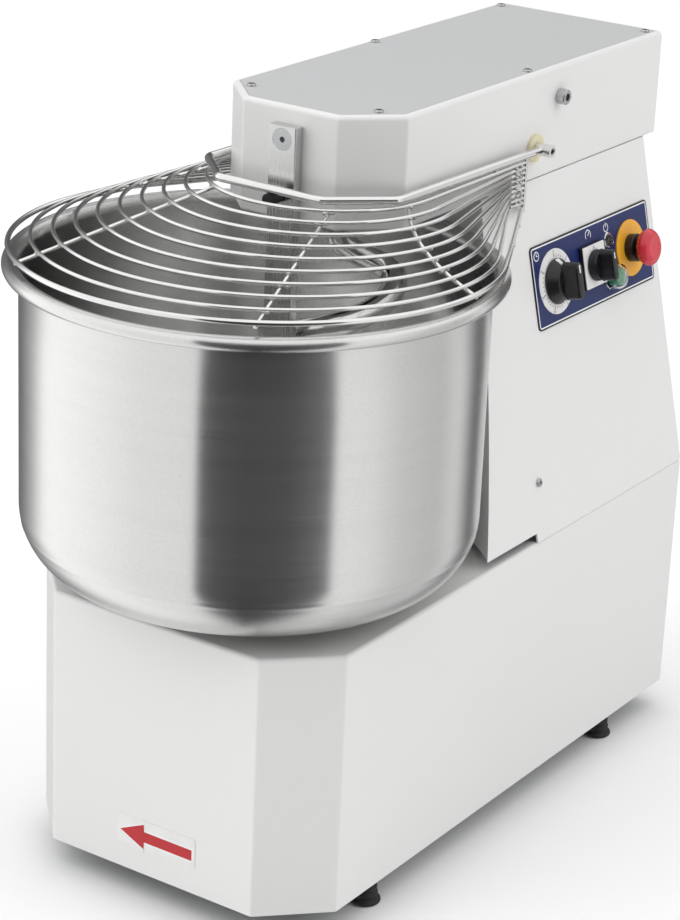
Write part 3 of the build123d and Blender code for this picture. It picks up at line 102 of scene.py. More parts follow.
# ---------------------------------------------------------------- surfaces
def quads(points, close_rows=False, close_columns=False):
    """Vertices and faces of a grid of points.

    Each face joins four neighbours, and a closed way wraps round.
    """
    rows, columns = points.shape[:2]
    index = np.arange(rows * columns).reshape(rows, columns)
    if close_rows:
        index = np.vstack([index, index[:1]])
    if close_columns:
        index = np.hstack([index, index[:, :1]])
    corners = [index[:-1, :-1], index[1:, :-1], index[1:, 1:], index[:-1, 1:]]
    return points.reshape(-1, 3), np.stack(corners, -1).reshape(-1, 4)


def placed(shape, matrix):
    """The same shape turned and moved by a matrix: every point times its rotation, plus its translation."""
    points, faces = shape
    turn = np.array(matrix.to_3x3())
    return points @ turn.T + np.array(matrix.translation), faces


def lathe(profile, segments=96, matrix=None, closed=False):
    """A profile of (radius, height) turned about z.

    x = r cos a, y = r sin a, z = h, for a all the way round.
    """
    profile = np.array(profile, float)
    angle = np.linspace(0, 2 * pi, segments, endpoint=False)[:, None]
    radius, height = profile[None, :, 0], profile[None, :, 1]
    points = np.stack([radius * np.cos(angle), radius * np.sin(angle), height + 0 * angle], -1)
    shape = quads(points, close_rows=True, close_columns=closed)
    return placed(shape, matrix) if matrix else shape


def arc(centre, radius, start, end, count=8):
    """Points on a circle arc from one bearing to another, in degrees."""
    angle = np.radians(np.linspace(start, end, count))
    return [(centre[0] + radius * cos(a), centre[1] + radius * sin(a)) for a in angle]


def unit(vectors):
    """Vectors scaled to length one."""
    return vectors / np.linalg.norm(vectors, axis=-1, keepdims=True)


def tube(path, radius, reference, sides=16, round_ends=True):
    """A round rod along a path: each point of the path carries a circle square to its tangent.

    Round ends go on by one radius as the circle shrinks: along = r sin a, radius = r cos a, up to a
    quarter turn.
    """
    path = np.array(path, float)
    tangent = unit(np.gradient(path, axis=0))
    size = np.full(len(path), radius)
    reference = np.broadcast_to(np.array(reference, float), path.shape)
    if round_ends:
        swell = np.radians(np.linspace(90, 0, 6)[:-1])[:, None]
        head = path[:1] - tangent[:1] * radius * np.sin(swell)
        tail = path[-1:] + tangent[-1:] * radius * np.sin(swell[::-1])
        path = np.vstack([head, path, tail])
        tangent = np.vstack([np.repeat(tangent[:1], 5, 0), tangent, np.repeat(tangent[-1:], 5, 0)])
        reference = np.vstack([np.repeat(reference[:1], 5, 0), reference, np.repeat(reference[-1:], 5, 0)])
        size = np.concatenate([radius * np.cos(swell[:, 0]), size, radius * np.cos(swell[::-1, 0])])
    across = unit(np.cross(tangent, reference))
    other = np.cross(across, tangent)
    angle = np.linspace(0, 2 * pi, sides, endpoint=False)[None, :, None]
    ring = np.cos(angle) * across[:, None, :] + np.sin(angle) * other[:, None, :]
    return quads(path[:, None, :] + size[:, None, None] * ring, close_columns=True)


def rounded_rectangle(width, height, radius, count=8):
    """Outline of a rectangle with quarter circles at its corners, counter-clockwise."""
    x, y = width / 2 - radius, height / 2 - radius
    points = []
    for corner, (cx, cy) in enumerate(((x, y), (-x, y), (-x, -y), (x, -y))):
        points += arc((cx, cy), radius, 90 * corner, 90 * corner + 90, count)
    return np.array(points)


def slot_outline(length, width, count=12):
    """Outline of a bar with half-round ends, long in y."""
    reach = (length - width) / 2
    return np.array(arc((0, reach), width / 2, 0, 180, count) + arc((0, -reach), width / 2, 180, 360, count))


def layered(outline, layers, matrix=None):
    """Layers of one outline, closed at both ends.

    Each layer is (scale x, scale y, height), from bottom to top: x = sx X, y = sy Y, z = h.
    """
    first, last = layers[0], layers[-1]
    layers = [(0, 0, first[2]), *layers, (0, 0, last[2])]
    scale = np.array(layers, float)
    flat = outline[None, :, :] * scale[:, None, :2]
    height = np.broadcast_to(scale[:, None, 2:], (*flat.shape[:2], 1))
    shape = quads(np.concatenate([flat, height], -1), close_columns=True)
    return placed(shape, matrix) if matrix else shape


def plate(outline, low, high, edge, matrix=None):
    """A flat plate with a softened upper edge: the outline, then the same drawn in by the edge's size."""
    size = outline.max(0) - outline.min(0)
    inner = 1 - 2 * edge / size
    steps = [(1, 1, low), (1, 1, high - edge), (*(0.7 + 0.3 * inner), high - 0.3 * edge), (*inner, high)]
    return layered(outline, steps, matrix)


def joined(shapes):
    """Several shapes as one set of vertices and faces."""
    points, faces, start = [], [], 0
    for shape_points, shape_faces in shapes:
        points.append(shape_points)
        faces.append(shape_faces + start)
        start += len(shape_points)
    return np.vstack(points), np.vstack(faces)


def make_piece(name, shapes, finish, body, stands_for=(), crease=38.0):
    """A finished piece that rides on a body.

    Its seams and poles are merged, its faces turned outwards and its sharp edges marked.
    """
    points, faces = joined(shapes)
    mesh = bpy.data.meshes.new(name)
    mesh.from_pydata(points.tolist(), [], faces.tolist())
    work = bmesh.new()
    work.from_mesh(mesh)
    bmesh.ops.remove_doubles(work, verts=work.verts, dist=1e-7)
    bmesh.ops.recalc_face_normals(work, faces=work.faces)
    work.to_mesh(mesh)
    work.free()
    mesh.shade_smooth()
    mesh.set_sharp_from_angle(angle=radians(crease))
    mesh.materials.append(finish)
    piece = bpy.data.objects.new(name, mesh)
    bpy.context.scene.collection.objects.link(piece)
    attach(piece, body)
    if stands_for:
        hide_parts(*stands_for)
    return piece


def text_shape(text, size, matrix, thickness=0.00008):
    """A word or number as a thin raised shape, centred on the matrix's origin."""
    curve = bpy.data.curves.new("print", "FONT")
    curve.body = text
    curve.size = size
    curve.align_x = "CENTER"
    curve.align_y = "CENTER"
    curve.extrude = thickness
    holder = bpy.data.objects.new("print", curve)
    bpy.context.scene.collection.objects.link(holder)
    mesh = bpy.data.meshes.new_from_object(holder.evaluated_get(bpy.context.evaluated_depsgraph_get()))
    points = np.empty(len(mesh.vertices) * 3)
    mesh.vertices.foreach_get("co", points)
    mesh.calc_loop_triangles()
    faces = np.empty(len(mesh.loop_triangles) * 3, int)
    mesh.loop_triangles.foreach_get("vertices", faces)
    faces = faces.reshape(-1, 3)
    bpy.data.objects.remove(holder)
    bpy.data.meshes.remove(mesh)
    return placed((points.reshape(-1, 3), np.hstack([faces, faces[:, :1]])), matrix)


# ---------------------------------------------------------------- materials
class Value:
    """A shader output that takes part in arithmetic: each operator adds its Math node."""

    def __init__(self, nodes, socket):
        self.nodes = nodes
        self.socket = socket

    def _math(self, operation, first, second):
        return self.nodes.node("ShaderNodeMath", {"operation": operation}, {0: first, 1: second})

    def __add__(self, other):
        return self._math("ADD", self, other)

    def __radd__(self, other):
        return self._math("ADD", other, self)

    def __sub__(self, other):
        return self._math("SUBTRACT", self, other)

    def __rsub__(self, other):
        return self._math("SUBTRACT", other, self)

    def __mul__(self, other):
        return self._math("MULTIPLY", self, other)

    def __rmul__(self, other):
        return self._math("MULTIPLY", other, self)

    def __truediv__(self, other):
        return self._math("DIVIDE", self, other)

    def __pow__(self, other):
        return self._math("POWER", self, other)

    def __abs__(self):
        return self._math("ABSOLUTE", self, 0.0)

    def above(self, other):
        """The larger of the two."""
        return self._math("MAXIMUM", self, other)

    def below(self, other):
        """The smaller of the two."""
        return self._math("MINIMUM", self, other)


class Nodes:
    """A node tree, and the ways to add to it."""

    def __init__(self, tree):
        self.tree = tree

    def node(self, kind, settings=None, inputs=None, output=0):
        """A node of a type: its settings are set first, then its sockets' values or links."""
        made = self.tree.nodes.new(kind)
        for key, value in (settings or {}).items():
            if key == "stops":
                for stop, (place, colour) in zip(self._stops(made, len(value)), value):
                    stop.position = place
                    stop.color = colour
            else:
                setattr(made, key, value)
        for key, value in (inputs or {}).items():
            self.feed(made.inputs[key], value)
        return Value(self, made.outputs[output])

    def _stops(self, ramp, count):
        stops = ramp.color_ramp.elements
        while len(stops) < count:
            stops.new(1.0)
        return stops

    def feed(self, socket, value):
        """A value or a link into a socket."""
        if isinstance(value, Value):
            self.tree.links.new(value.socket, socket)
        else:
            socket.default_value = value

    def split(self, vector):
        """The three parts of a vector as separate values."""
        parts = self.node("ShaderNodeSeparateXYZ", inputs={0: vector})
        return [Value(self, out) for out in parts.socket.node.outputs]

    def vector(self, x, y, z):
        """Three values as one vector."""
        return self.node("ShaderNodeCombineXYZ", inputs={0: x, 1: y, 2: z})

    def ease(self, value, low, high):
        """0 below low, 1 above high, smooth between."""
        return self.node(
            "ShaderNodeMapRange",
            {"interpolation_type": "SMOOTHSTEP"},
            {"Value": value, "From Min": low, "From Max": high, "To Min": 0.0, "To Max": 1.0},
        )

    def mix(self, factor, first, second):
        """Colour blend: the first at factor 0, the second at 1."""
        return self.node("ShaderNodeMix", {"data_type": "RGBA"}, {0: factor, 6: first, 7: second}, output=2)


class Finish(Nodes):
    """A material built on one Principled shader; constants go straight on the shader's sockets."""

    def __init__(self, name, **constants):
        self.material = bpy.data.materials.new(name)
        self.material.use_nodes = True
        super().__init__(self.material.node_tree)
        self.shader = self.tree.nodes["Principled BSDF"]
        for socket, value in constants.items():
            self.shader.inputs[socket.replace("_", " ")].default_value = value

    def place(self):
        """Object coordinates, which are the frame's own metres."""
        return self.node("ShaderNodeTexCoord", output=3)

    def axes(self):
        """The three object coordinates as separate values."""
        return self.split(self.place())

    def noise(self, scale, detail=2.0, roughness=0.5, vector=None):
        """Smooth noise from 0 to 1 at a scale in turns per metre."""
        where = vector if vector is not None else self.place()
        inputs = {"Vector": where, "Scale": scale, "Detail": detail, "Roughness": roughness}
        return self.node("ShaderNodeTexNoise", {}, inputs)

    def bump(self, height, strength, distance):
        """Surface relief from a height value."""
        inputs = {"Strength": strength, "Distance": distance, "Height": height}
        self.feed(self.shader.inputs["Normal"], self.node("ShaderNodeBump", {}, inputs))

    def set(self, socket, value):
        """A varying value into one of the shader's sockets."""
        self.feed(self.shader.inputs[socket], value)


def rgba(colour, shade=1.0):
    """A colour with full alpha, lightened or darkened."""
    return (colour[0] * shade, colour[1] * shade, colour[2] * shade, 1.0)


def powder_coat(name, colour, gloss):
    """Baked powder paint: a fine orange-peel surface and a faint, wide drift of tone."""
    finish = Finish(name, Coat_Weight=0.12, Coat_Roughness=0.18, Specular_IOR_Level=0.45)
    drift = finish.noise(2.6, 2.0)
    finish.set("Base Color", finish.mix(drift, rgba(colour, 0.975), rgba(colour, 1.015)))
    cloud = finish.noise(38.0, 3.0)
    finish.set("Roughness", gloss + 0.10 * cloud)
    peel = finish.noise(620.0, 2.0)
    speck = finish.noise(2400.0, 1.0)
    finish.bump(peel + 0.35 * speck, 0.16, 0.00022)
    return finish.material


def spun_steel(name, centre_y, fineness, low, high):
    """Steel polished while turning about the bowl's axis: fine lines that run round it.

    The line pattern is noise over (x, y, 0) slowly and over height plus radius quickly.
    """
    finish = Finish(name, Metallic=1.0, Anisotropic=1.0, Anisotropic_Rotation=0.25)
    x, y, z = finish.axes()
    y = y - centre_y
    reach = (x * x + y * y) ** 0.5
    along = z + reach
    lines = finish.noise(1.0, 4.0, 0.65, finish.vector(x * 5.0, y * 5.0, along * fineness))
    bands = finish.noise(1.0, 2.0, 0.5, finish.vector(x * 0.6, y * 0.6, along * 46.0))
    grain = finish.noise(420.0, 3.0, 0.7)
    finish.set("Roughness", low + (high - low) * lines + 0.04 * bands)
    wear = lines * 0.35 + bands * 0.2 + grain * 0.45
    finish.set("Base Color", finish.mix(wear, (0.62, 0.62, 0.615, 1), (0.86, 0.86, 0.85, 1)))
    finish.bump(grain + 0.5 * finish.noise(1300.0, 1.0), 0.10, 0.00005)
    return finish.material


def drawn_steel(name, tone, low, high, stretch, depth=0.08):
    """Bright steel with fine lines in one direction; stretch is the line density along each axis."""
    finish = Finish(name, Metallic=1.0)
    x, y, z = finish.axes()
    lines = finish.noise(1.0, 3.0, 0.6, finish.vector(x * stretch[0], y * stretch[1], z * stretch[2]))
    cloud = finish.noise(22.0, 3.0)
    finish.set("Roughness", low + (high - low) * lines + 0.05 * cloud)
    finish.set("Base Color", finish.mix(lines * 0.5 + cloud * 0.5, rgba(tone, 0.90), rgba(tone, 1.06)))
    finish.bump(lines, depth, 0.00006)
    return finish.material


def moulded(name, colour, gloss, grain=900.0, depth=0.10, **constants):
    """Moulded plastic or rubber: a fine grain, with gloss and tone drifting a little."""
    finish = Finish(name, **constants)
    cloud = finish.noise(60.0, 3.0)
    finish.set("Base Color", finish.mix(cloud, rgba(colour, 0.90), rgba(colour, 1.10)))
    finish.set("Roughness", gloss + 0.12 * cloud)
    finish.bump(finish.noise(grain, 2.0), depth, 0.00012)
    return finish.material


def cast_iron(name, colour):
    """Rough cast surface with pits, and a duller tone in the hollows."""
    finish = Finish(name, Metallic=0.6)
    lumps = finish.noise(260.0, 5.0, 0.65)
    pits = finish.ease(finish.noise(900.0, 3.0), 0.42, 0.62)
    finish.set("Base Color", finish.mix(lumps, rgba(colour, 0.7), rgba(colour, 1.2)))
    finish.set("Roughness", 0.45 + 0.25 * lumps)
    finish.bump(lumps + 0.4 * pits, 0.35, 0.0004)
    return finish.material


def clear_plastic(name, tint, facets, depth):
    """Clear moulded plastic with a faint tint; facets and their depth give a lens its prisms."""
    finish = Finish(name, Transmission_Weight=1.0, IOR=1.42)
    cloud = finish.noise(80.0, 2.0)
    finish.set("Base Color", finish.mix(cloud, rgba(tint, 0.97), rgba(tint, 1.0)))
    finish.set("Roughness", 0.01 + 0.05 * cloud)
    cells = finish.node(
        "ShaderNodeTexVoronoi", {"feature": "F1"}, {"Vector": finish.place(), "Scale": facets}
    )
    finish.bump(cells, depth, 0.0004)
    return finish.material


def panel_foil(name, ink, centre, size):
    """Printed foil: a black edge and a white line that follow the plate's outline round a blue field.

    The distance to the edge of a rounded rectangle is the length of the part of (|u|, |v|) outside the
    inner rectangle, or the nearer side inside it, less the corner radius.
    """
    finish = Finish(name, Specular_IOR_Level=0.3)
    x, y, z = finish.axes()
    u = y - centre.y
    v = (z - centre.z) * panel_normal.x - (x - centre.x) * panel_normal.z
    corner = 5 * mm
    across = abs(u) - (size[0] / 2 - corner)
    up = abs(v) - (size[1] / 2 - corner)
    outside = (across.above(0.0) ** 2.0 + up.above(0.0) ** 2.0) ** 0.5
    depth = (corner - outside) - across.above(up).below(0.0)
    soft = 0.12 * mm
    line = finish.ease(depth, 1.7 * mm - soft, 1.7 * mm + soft)
    field = finish.ease(depth, 3.1 * mm - soft, 3.1 * mm + soft)
    drift = finish.noise(14.0, 2.0)
    blue = finish.mix(drift, rgba(ink, 0.93), rgba(ink, 1.07))
    border = finish.mix(line, (0.010, 0.011, 0.018, 1), (0.86, 0.87, 0.88, 1))
    finish.set("Base Color", finish.mix(field, border, blue))
    finish.set("Roughness", 0.32 + 0.08 * finish.noise(45.0, 2.0))
    finish.bump(finish.noise(1500.0, 1.0), 0.05, 0.0001)
    return finish.material


finishes = {}


def settings():
    """The add-on's settings on this scene."""
    return bpy.context.scene.dough_mixer


# ---------------------------------------------------------------- settings
class MixerColours(bpy.types.PropertyGroup):
    """Colours of the paint and the controls."""

    casing: bpy.props.FloatVectorProperty(
        name="Casing", description="Powder coat of base, column and head", subtype="COLOR", size=3,
        default=(0.78, 0.778, 0.772),
    )
    cover: bpy.props.FloatVectorProperty(
        name="Top cover", description="Satin paint of the head's cover plate", subtype="COLOR", size=3,
        default=(0.54, 0.545, 0.55),
    )
    panel_ink: bpy.props.FloatVectorProperty(
        name="Panel ink", description="Field of the printed panel", subtype="COLOR", size=3,
        default=(0.012, 0.024, 0.120),
    )
    stop_red: bpy.props.FloatVectorProperty(
        name="Stop cap", description="Mushroom cap of the stop button", subtype="COLOR", size=3,
        default=(0.64, 0.022, 0.042),
    )
    stop_yellow: bpy.props.FloatVectorProperty(
        name="Stop disc", description="Disc behind the stop button", subtype="COLOR", size=3,
        default=(0.93, 0.46, 0.030),
    )
    start_green: bpy.props.FloatVectorProperty(
        name="Start button", description="Cap of the start button", subtype="COLOR", size=3,
        default=(0.012, 0.30, 0.11),
    )


class MixerSizes(bpy.types.PropertyGroup):
    """Small sizes of the finished surfaces."""

    bowl_crease: bpy.props.FloatProperty(
        name="Bowl crease", description="Height of the soft ridge spun where the bowl's wall turns under",
        default=0.25 * mm, min=0, max=1 * mm, unit="LENGTH",
    )
    weld: bpy.props.FloatProperty(
        name="Weld", description="Half the width of a weld bead on the guard",
        default=2.7 * mm, min=1 * mm, max=5 * mm, unit="LENGTH",
    )
    tick: bpy.props.FloatProperty(
        name="Tick", description="Length of the timer's long ticks",
        default=4.2 * mm, min=1 * mm, max=8 * mm, unit="LENGTH",
    )


class MixerSettings(bpy.types.PropertyGroup):
    """Everything a user may change."""

    colours: bpy.props.PointerProperty(type=MixerColours, name="Colours", description="Paint and controls")
    sizes: bpy.props.PointerProperty(type=MixerSizes, name="Sizes", description="Small sizes")


# ---------------------------------------------------------------- operators
class MixerOperator:
    """What the add-on's operators share."""

    bl_options = {"REGISTER", "UNDO"}


class DOUGHMIXER_OT_finishes(MixerOperator, bpy.types.Operator):
    """Make the materials and lay them on the CAD pieces"""

    bl_idname = "dough_mixer.finishes"
    bl_label = "Finishes"

    def execute(self, context):
        colours = settings().colours
        y = bowl_centre.y
        finishes.update(
            white_paint=powder_coat("white_powder_coat", colours.casing, 0.36),
            grey_paint=powder_coat("grey_powder_coat", colours.cover, 0.40),
            stainless=spun_steel("spun_steel", y, 1500.0, 0.15, 0.26),
            hook=drawn_steel("polished_hook_steel", (0.80, 0.80, 0.79), 0.08, 0.18, (60, 60, 420)),
            bar=drawn_steel("brushed_bar_steel", (0.70, 0.70, 0.695), 0.16, 0.30, (900, 900, 14)),
            polished=drawn_steel("polished_wire", (0.82, 0.82, 0.81), 0.05, 0.12, (120, 120, 120), 0.03),
            bead=drawn_steel("weld_bead", (0.60, 0.59, 0.57), 0.16, 0.34, (700, 700, 700), 0.5),
            steel=drawn_steel("zinc_steel", (0.52, 0.53, 0.54), 0.16, 0.32, (500, 500, 500)),
            frame_steel=moulded("primed_steel", (0.10, 0.11, 0.12), 0.50, 500.0, 0.15),
            cast=cast_iron("cast_iron", (0.14, 0.145, 0.15)),
            motor_paint=powder_coat("motor_enamel", (0.045, 0.09, 0.16), 0.38),
            rubber=moulded("black_rubber", (0.016, 0.016, 0.017), 0.62, 700.0, 0.25),
            nylon=moulded("cream_nylon", (0.78, 0.72, 0.50), 0.42, 600.0, 0.08),
            black_plastic=moulded("black_plastic", (0.010, 0.010, 0.012), 0.26, 1200.0, 0.06),
            dial_white=moulded("dial_white", (0.80, 0.80, 0.79), 0.38, 900.0, 0.03),
            print_white=moulded("white_print", (0.84, 0.85, 0.86), 0.40, 900.0, 0.02),
            print_black=moulded("black_print", (0.02, 0.02, 0.022), 0.45, 900.0, 0.02),
            print_red=moulded("red_print", (0.50, 0.014, 0.020), 0.42, 900.0, 0.02),
            lamp_clear=clear_plastic("lamp_lens", (0.95, 0.96, 0.97), 900.0, 0.35),
            bezel_clear=clear_plastic("clear_boot", (0.97, 0.99, 0.98), 240.0, 0.02),
            button_green=moulded("green_cap", colours.start_green, 0.22, 500.0, 0.04, Coat_Weight=0.5),
            disc_yellow=moulded("yellow_disc", colours.stop_yellow, 0.36, 900.0, 0.04),
            stop_red=moulded("red_cap", colours.stop_red, 0.24, 500.0, 0.04, Coat_Weight=0.35),
            label_print=moulded("clear_label", colours.casing, 0.30, 900.0, 0.02),
        )
        plate_low, plate_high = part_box("panel_plate")
        height = (plate_high.z - plate_low.z - 1.2 * mm * panel_normal.z) / panel_normal.x
        size = (plate_high.y - plate_low.y, height)
        finishes["panel_blue"] = panel_foil(
            "panel_foil", colours.panel_ink, (plate_low + plate_high) / 2, size
        )
        own = {"spiral": "hook", "breaker_bar": "bar"}
        slots = {row["node"]: row["material_slot"] for row in frame["record"]["subparts"]}
        for name, node in frame["nodes"].items():
            finish = finishes[own.get(name, slots[name])]
            node.data.materials.clear()
            node.data.materials.append(finish)
        return {"FINISHED"}


class DOUGHMIXER_OT_bowl(MixerOperator, bpy.types.Operator):
    """Spin the bowl from its wall, knuckle, floor and rolled rim"""

    bl_idname = "dough_mixer.bowl"
    bl_label = "Bowl"

    def execute(self, context):
        tube_radius, reach, knuckle = 7 * mm, 9 * mm, 68 * mm
        wall, floor = 2 * mm, 4 * mm
        outer = bowl_rim_radius - tube_radius - reach
        low, top = bowl_low.z, bowl_high.z
        bead = outer + reach
        rim_z = top - tube_radius
        turn_z = low + knuckle
        crease = settings().sizes.bowl_crease
        profile = [(0, low), (outer - knuckle - 4 * mm, low)]
        profile += arc((outer - knuckle, turn_z), knuckle, -90, -17, 32)
        profile += arc((outer - knuckle, turn_z), knuckle + crease, -15.5, -14, 3)
        profile += arc((outer - knuckle, turn_z), knuckle, -12.5, 0, 10)
        profile += [(outer, turn_z + 0.4 * (rim_z - turn_z)), (outer, turn_z + 0.7 * (rim_z - turn_z))]
        profile += [(outer, rim_z - tube_radius - 1.5 * mm)]
        profile += arc((outer + 1.5 * mm, rim_z - tube_radius - 1.5 * mm), 1.5 * mm, 180, 90, 5)[1:]
        profile += arc((bead, rim_z), tube_radius, -90, 90, 24)
        profile += arc((bead, top - 11.4 * mm), 11.4 * mm, 90, 178, 14)[1:]
        inner = outer - wall
        profile += [(inner, top - 14 * mm), (inner, turn_z + 0.5 * (rim_z - turn_z))]
        profile += arc((outer - knuckle, turn_z), knuckle - wall, 0, -90, 36)
        profile += [(outer - knuckle - 30 * mm, low + floor), (0, low + floor)]
        spun = lathe(profile, 320, Matrix.Translation(bowl_centre))
        make_piece("bowl_spun", [spun], finishes["stainless"], "bowl", ["bowl"])
        return {"FINISHED"}


class DOUGHMIXER_OT_spiral(MixerOperator, bpy.types.Operator):
    """Bend the spiral from its spindle, rod, shoulder and coil"""

    bl_idname = "dough_mixer.spiral"
    bl_label = "Spiral"

    def execute(self, context):
        low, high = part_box("spiral")
        rod, coil, pitch, turns = 12.5 * mm, 61 * mm, 116.5 * mm, 2.0
        spindle = 15 * mm
        axis_y = (low.y + high.y) / 2
        tip_z = low.z + rod
        coil_top = tip_z + pitch * turns
        start = radians(35.0)
        drop = 52 * mm
        seal_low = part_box("spiral_housing")[0].z
        rod_top = seal_low - 14 * mm
        down = np.linspace(0, 1, 12)[:-1, None]
        shaft_end = np.array([0, axis_y, coil_top + drop])
        shaft = np.array([0, axis_y, rod_top]) * (1 - down) + shaft_end * down
        slope = np.arctan(pitch / (2 * pi * coil))
        first = np.array([coil * cos(start), axis_y + coil * sin(start), coil_top])
        leave = np.array([0, 0, -1.0])
        arrive = np.array([sin(start) * cos(slope), -cos(start) * cos(slope), -sin(slope)])
        gap = np.linalg.norm(first - shaft_end)
        t = np.linspace(0, 1, 48)[:, None]
        shoulder = (
            (2 * t**3 - 3 * t**2 + 1) * shaft_end
            + (t**3 - 2 * t**2 + t) * leave * gap * 1.1
            + (3 * t**2 - 2 * t**3) * first
            + (t**3 - t**2) * arrive * gap * 1.5
        )
        angle = start - np.linspace(0, 2 * pi * turns, 240)[1:]
        fall = np.linspace(coil_top, tip_z, 240)[1:]
        winding = np.stack([coil * np.cos(angle), axis_y + coil * np.sin(angle), fall], -1)
        path = np.vstack([shaft, shoulder, winding])
        radial = np.stack([np.cos(angle), np.sin(angle), 0 * angle], -1)
        steady = np.repeat([[cos(start), sin(start), 0]], len(path) - len(winding), 0)
        hook = tube(path, rod, np.vstack([steady, radial]), 40)
        collar = lathe(
            [(0, rod_top - 1.5 * mm), (rod, rod_top - 1.5 * mm), (spindle, rod_top + 1.5 * mm)]
            + [(spindle, high.z - 1.5 * mm), (spindle - 1.5 * mm, high.z), (0, high.z)],
            64,
            Matrix.Translation((0, axis_y, 0)),
        )
        make_piece("spiral_hook", [hook, collar], finishes["hook"], "spiral", ["spiral"])
        return {"FINISHED"}


class DOUGHMIXER_OT_feet(MixerOperator, bpy.types.Operator):
    """Mould the four ribbed rubber feet"""

    bl_idname = "dough_mixer.feet"
    bl_label = "Feet"

    def execute(self, context):
        low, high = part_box("feet")
        wide = 16.5 * mm
        shapes = []
        for x in (low.x + wide, high.x - wide):
            for y in (low.y + wide, high.y - wide):
                profile = [(0, 0), (wide - 2.5 * mm, 0), (wide - 2.2 * mm, 0.6 * mm)]
                profile += arc((wide - 2.0 * mm, 2.2 * mm), 2.0 * mm, -80, 60, 8)
                for rib in range(3):
                    z = (6.5 + 7 * rib) * mm
                    radius = wide - (3.2 + 0.9 * rib) * mm
                    profile += [(radius - 0.9 * mm, z), (radius, z + 1.2 * mm), (radius, z + 4.6 * mm)]
                    profile += [(radius - 0.9 * mm, z + 5.8 * mm)]
                profile += [(12 * mm, high.z - 1 * mm), (11.4 * mm, high.z), (0, high.z)]
                shapes.append(lathe(profile, 64, Matrix.Translation((x, y, 0))))
        make_piece("rubber_feet", shapes, finishes["rubber"], root_body, ["feet"], crease=30.0)
        return {"FINISHED"}


class DOUGHMIXER_OT_guard(MixerOperator, bpy.types.Operator):
    """Lay the weld beads where the guard's ribs cross its wires"""

    bl_idname = "dough_mixer.guard"
    bl_label = "Guard welds"

    def execute(self, context):
        ribs, rib_faces = self.node_surface("guard_ribs")
        seats = []
        for node in ("guard_wires", "guard_frame"):
            wires, wire_faces = self.node_surface(node)
            rib_tree = BVHTree.FromPolygons(ribs.tolist(), rib_faces.tolist())
            wire_tree = BVHTree.FromPolygons(wires.tolist(), wire_faces.tolist())
            pairs = np.array(rib_tree.overlap(wire_tree))
            if len(pairs):
                seats.append(wires[wire_faces[pairs[:, 1]]].mean(1))
        seats = np.vstack(seats)
        seats = self.gathered(self.gathered(seats, 4 * mm), 7 * mm)
        radius = settings().sizes.weld
        ball = np.array(arc((0, 0), 1.0, -90, 90, 9)) * radius * np.array([1.0, 0.8])
        beads = [lathe(ball, 14, Matrix.Translation(seat)) for seat in seats.tolist()]
        make_piece("guard_welds", beads, finishes["bead"], "guard")
        return {"FINISHED"}

    def node_surface(self, name):
        """Points and triangles of a CAD node."""
        mesh = frame["nodes"][name].data
        mesh.calc_loop_triangles()
        points = np.empty(len(mesh.vertices) * 3)
        mesh.vertices.foreach_get("co", points)
        faces = np.empty(len(mesh.loop_triangles) * 3, int)
        mesh.loop_triangles.foreach_get("vertices", faces)
        return points.reshape(-1, 3), faces.reshape(-1, 3)

    def gathered(self, points, reach):
        """Points drawn together: each joins the first one within reach, and a group becomes its mean."""
        cells = np.unique(np.round(points / (0.25 * reach)), axis=0) * 0.25 * reach
        near = np.linalg.norm(cells[:, None] - cells[None], axis=-1) < reach
        group = np.unique(near.argmax(1), return_inverse=True)[1]
        total = np.zeros((group.max() + 1, 3))
        np.add.at(total, group, cells)
        return total / np.bincount(group)[:, None]


class DOUGHMIXER_OT_panel(MixerOperator, bpy.types.Operator):
    """Print the symbols on the control panel"""

    bl_idname = "dough_mixer.panel"
    bl_label = "Panel print"

    def execute(self, context):
        plate_low, plate_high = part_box("panel_plate")
        centre = (plate_low + plate_high) / 2 + panel_normal * 0.62 * mm
        at = panel_matrix(centre)

        def spot(u, v, turn=0.0):
            return at @ Matrix.Translation((u * mm, v * mm, 0)) @ Matrix.Rotation(radians(turn), 4, "Z")

        def bar(u, v, length, width, turn=0.0):
            return plate(slot_outline(length * mm, width * mm, 6), 0, 0.12 * mm, 0.04 * mm, spot(u, v, turn))

        def ring(u, v, radius, width, start=0.0, end=360.0):
            angle = np.radians(np.linspace(start, end, 40))
            path = np.stack([radius * mm * np.cos(angle), radius * mm * np.sin(angle), 0 * angle], -1)
            flat = tube(path, width * mm / 2, (0, 0, 1), 8)
            return placed((flat[0] * np.array([1, 1, 0.15]), flat[1]), spot(u, v))

        timer_u = (timer_place - centre).dot(Vector((0, 1, 0))) / mm
        selector_u = (selector_place - centre).dot(Vector((0, 1, 0))) / mm
        lamp_u = (middle("power_lamp") - centre).dot(Vector((0, 1, 0))) / mm
        shapes = [ring(timer_u - 32, 33, 4.6, 1.1), bar(timer_u - 32, 34.6, 3.6, 1.0)]
        shapes += [bar(timer_u - 30.8, 33, 3.0, 1.0, 90)]
        shapes += [ring(selector_u, 32, 5.4, 1.1, -30, 210), bar(selector_u + 1.2, 33.4, 5.4, 1.1, -40)]
        shapes += [ring(lamp_u, 32, 4.4, 1.1, 125, 415), bar(lamp_u, 35.0, 5.2, 1.1)]
        shapes += [bar(lamp_u, -3.0, 6.0, 1.3)]
        make_piece("panel_symbols", shapes, finishes["print_white"], root_body)
        return {"FINISHED"}


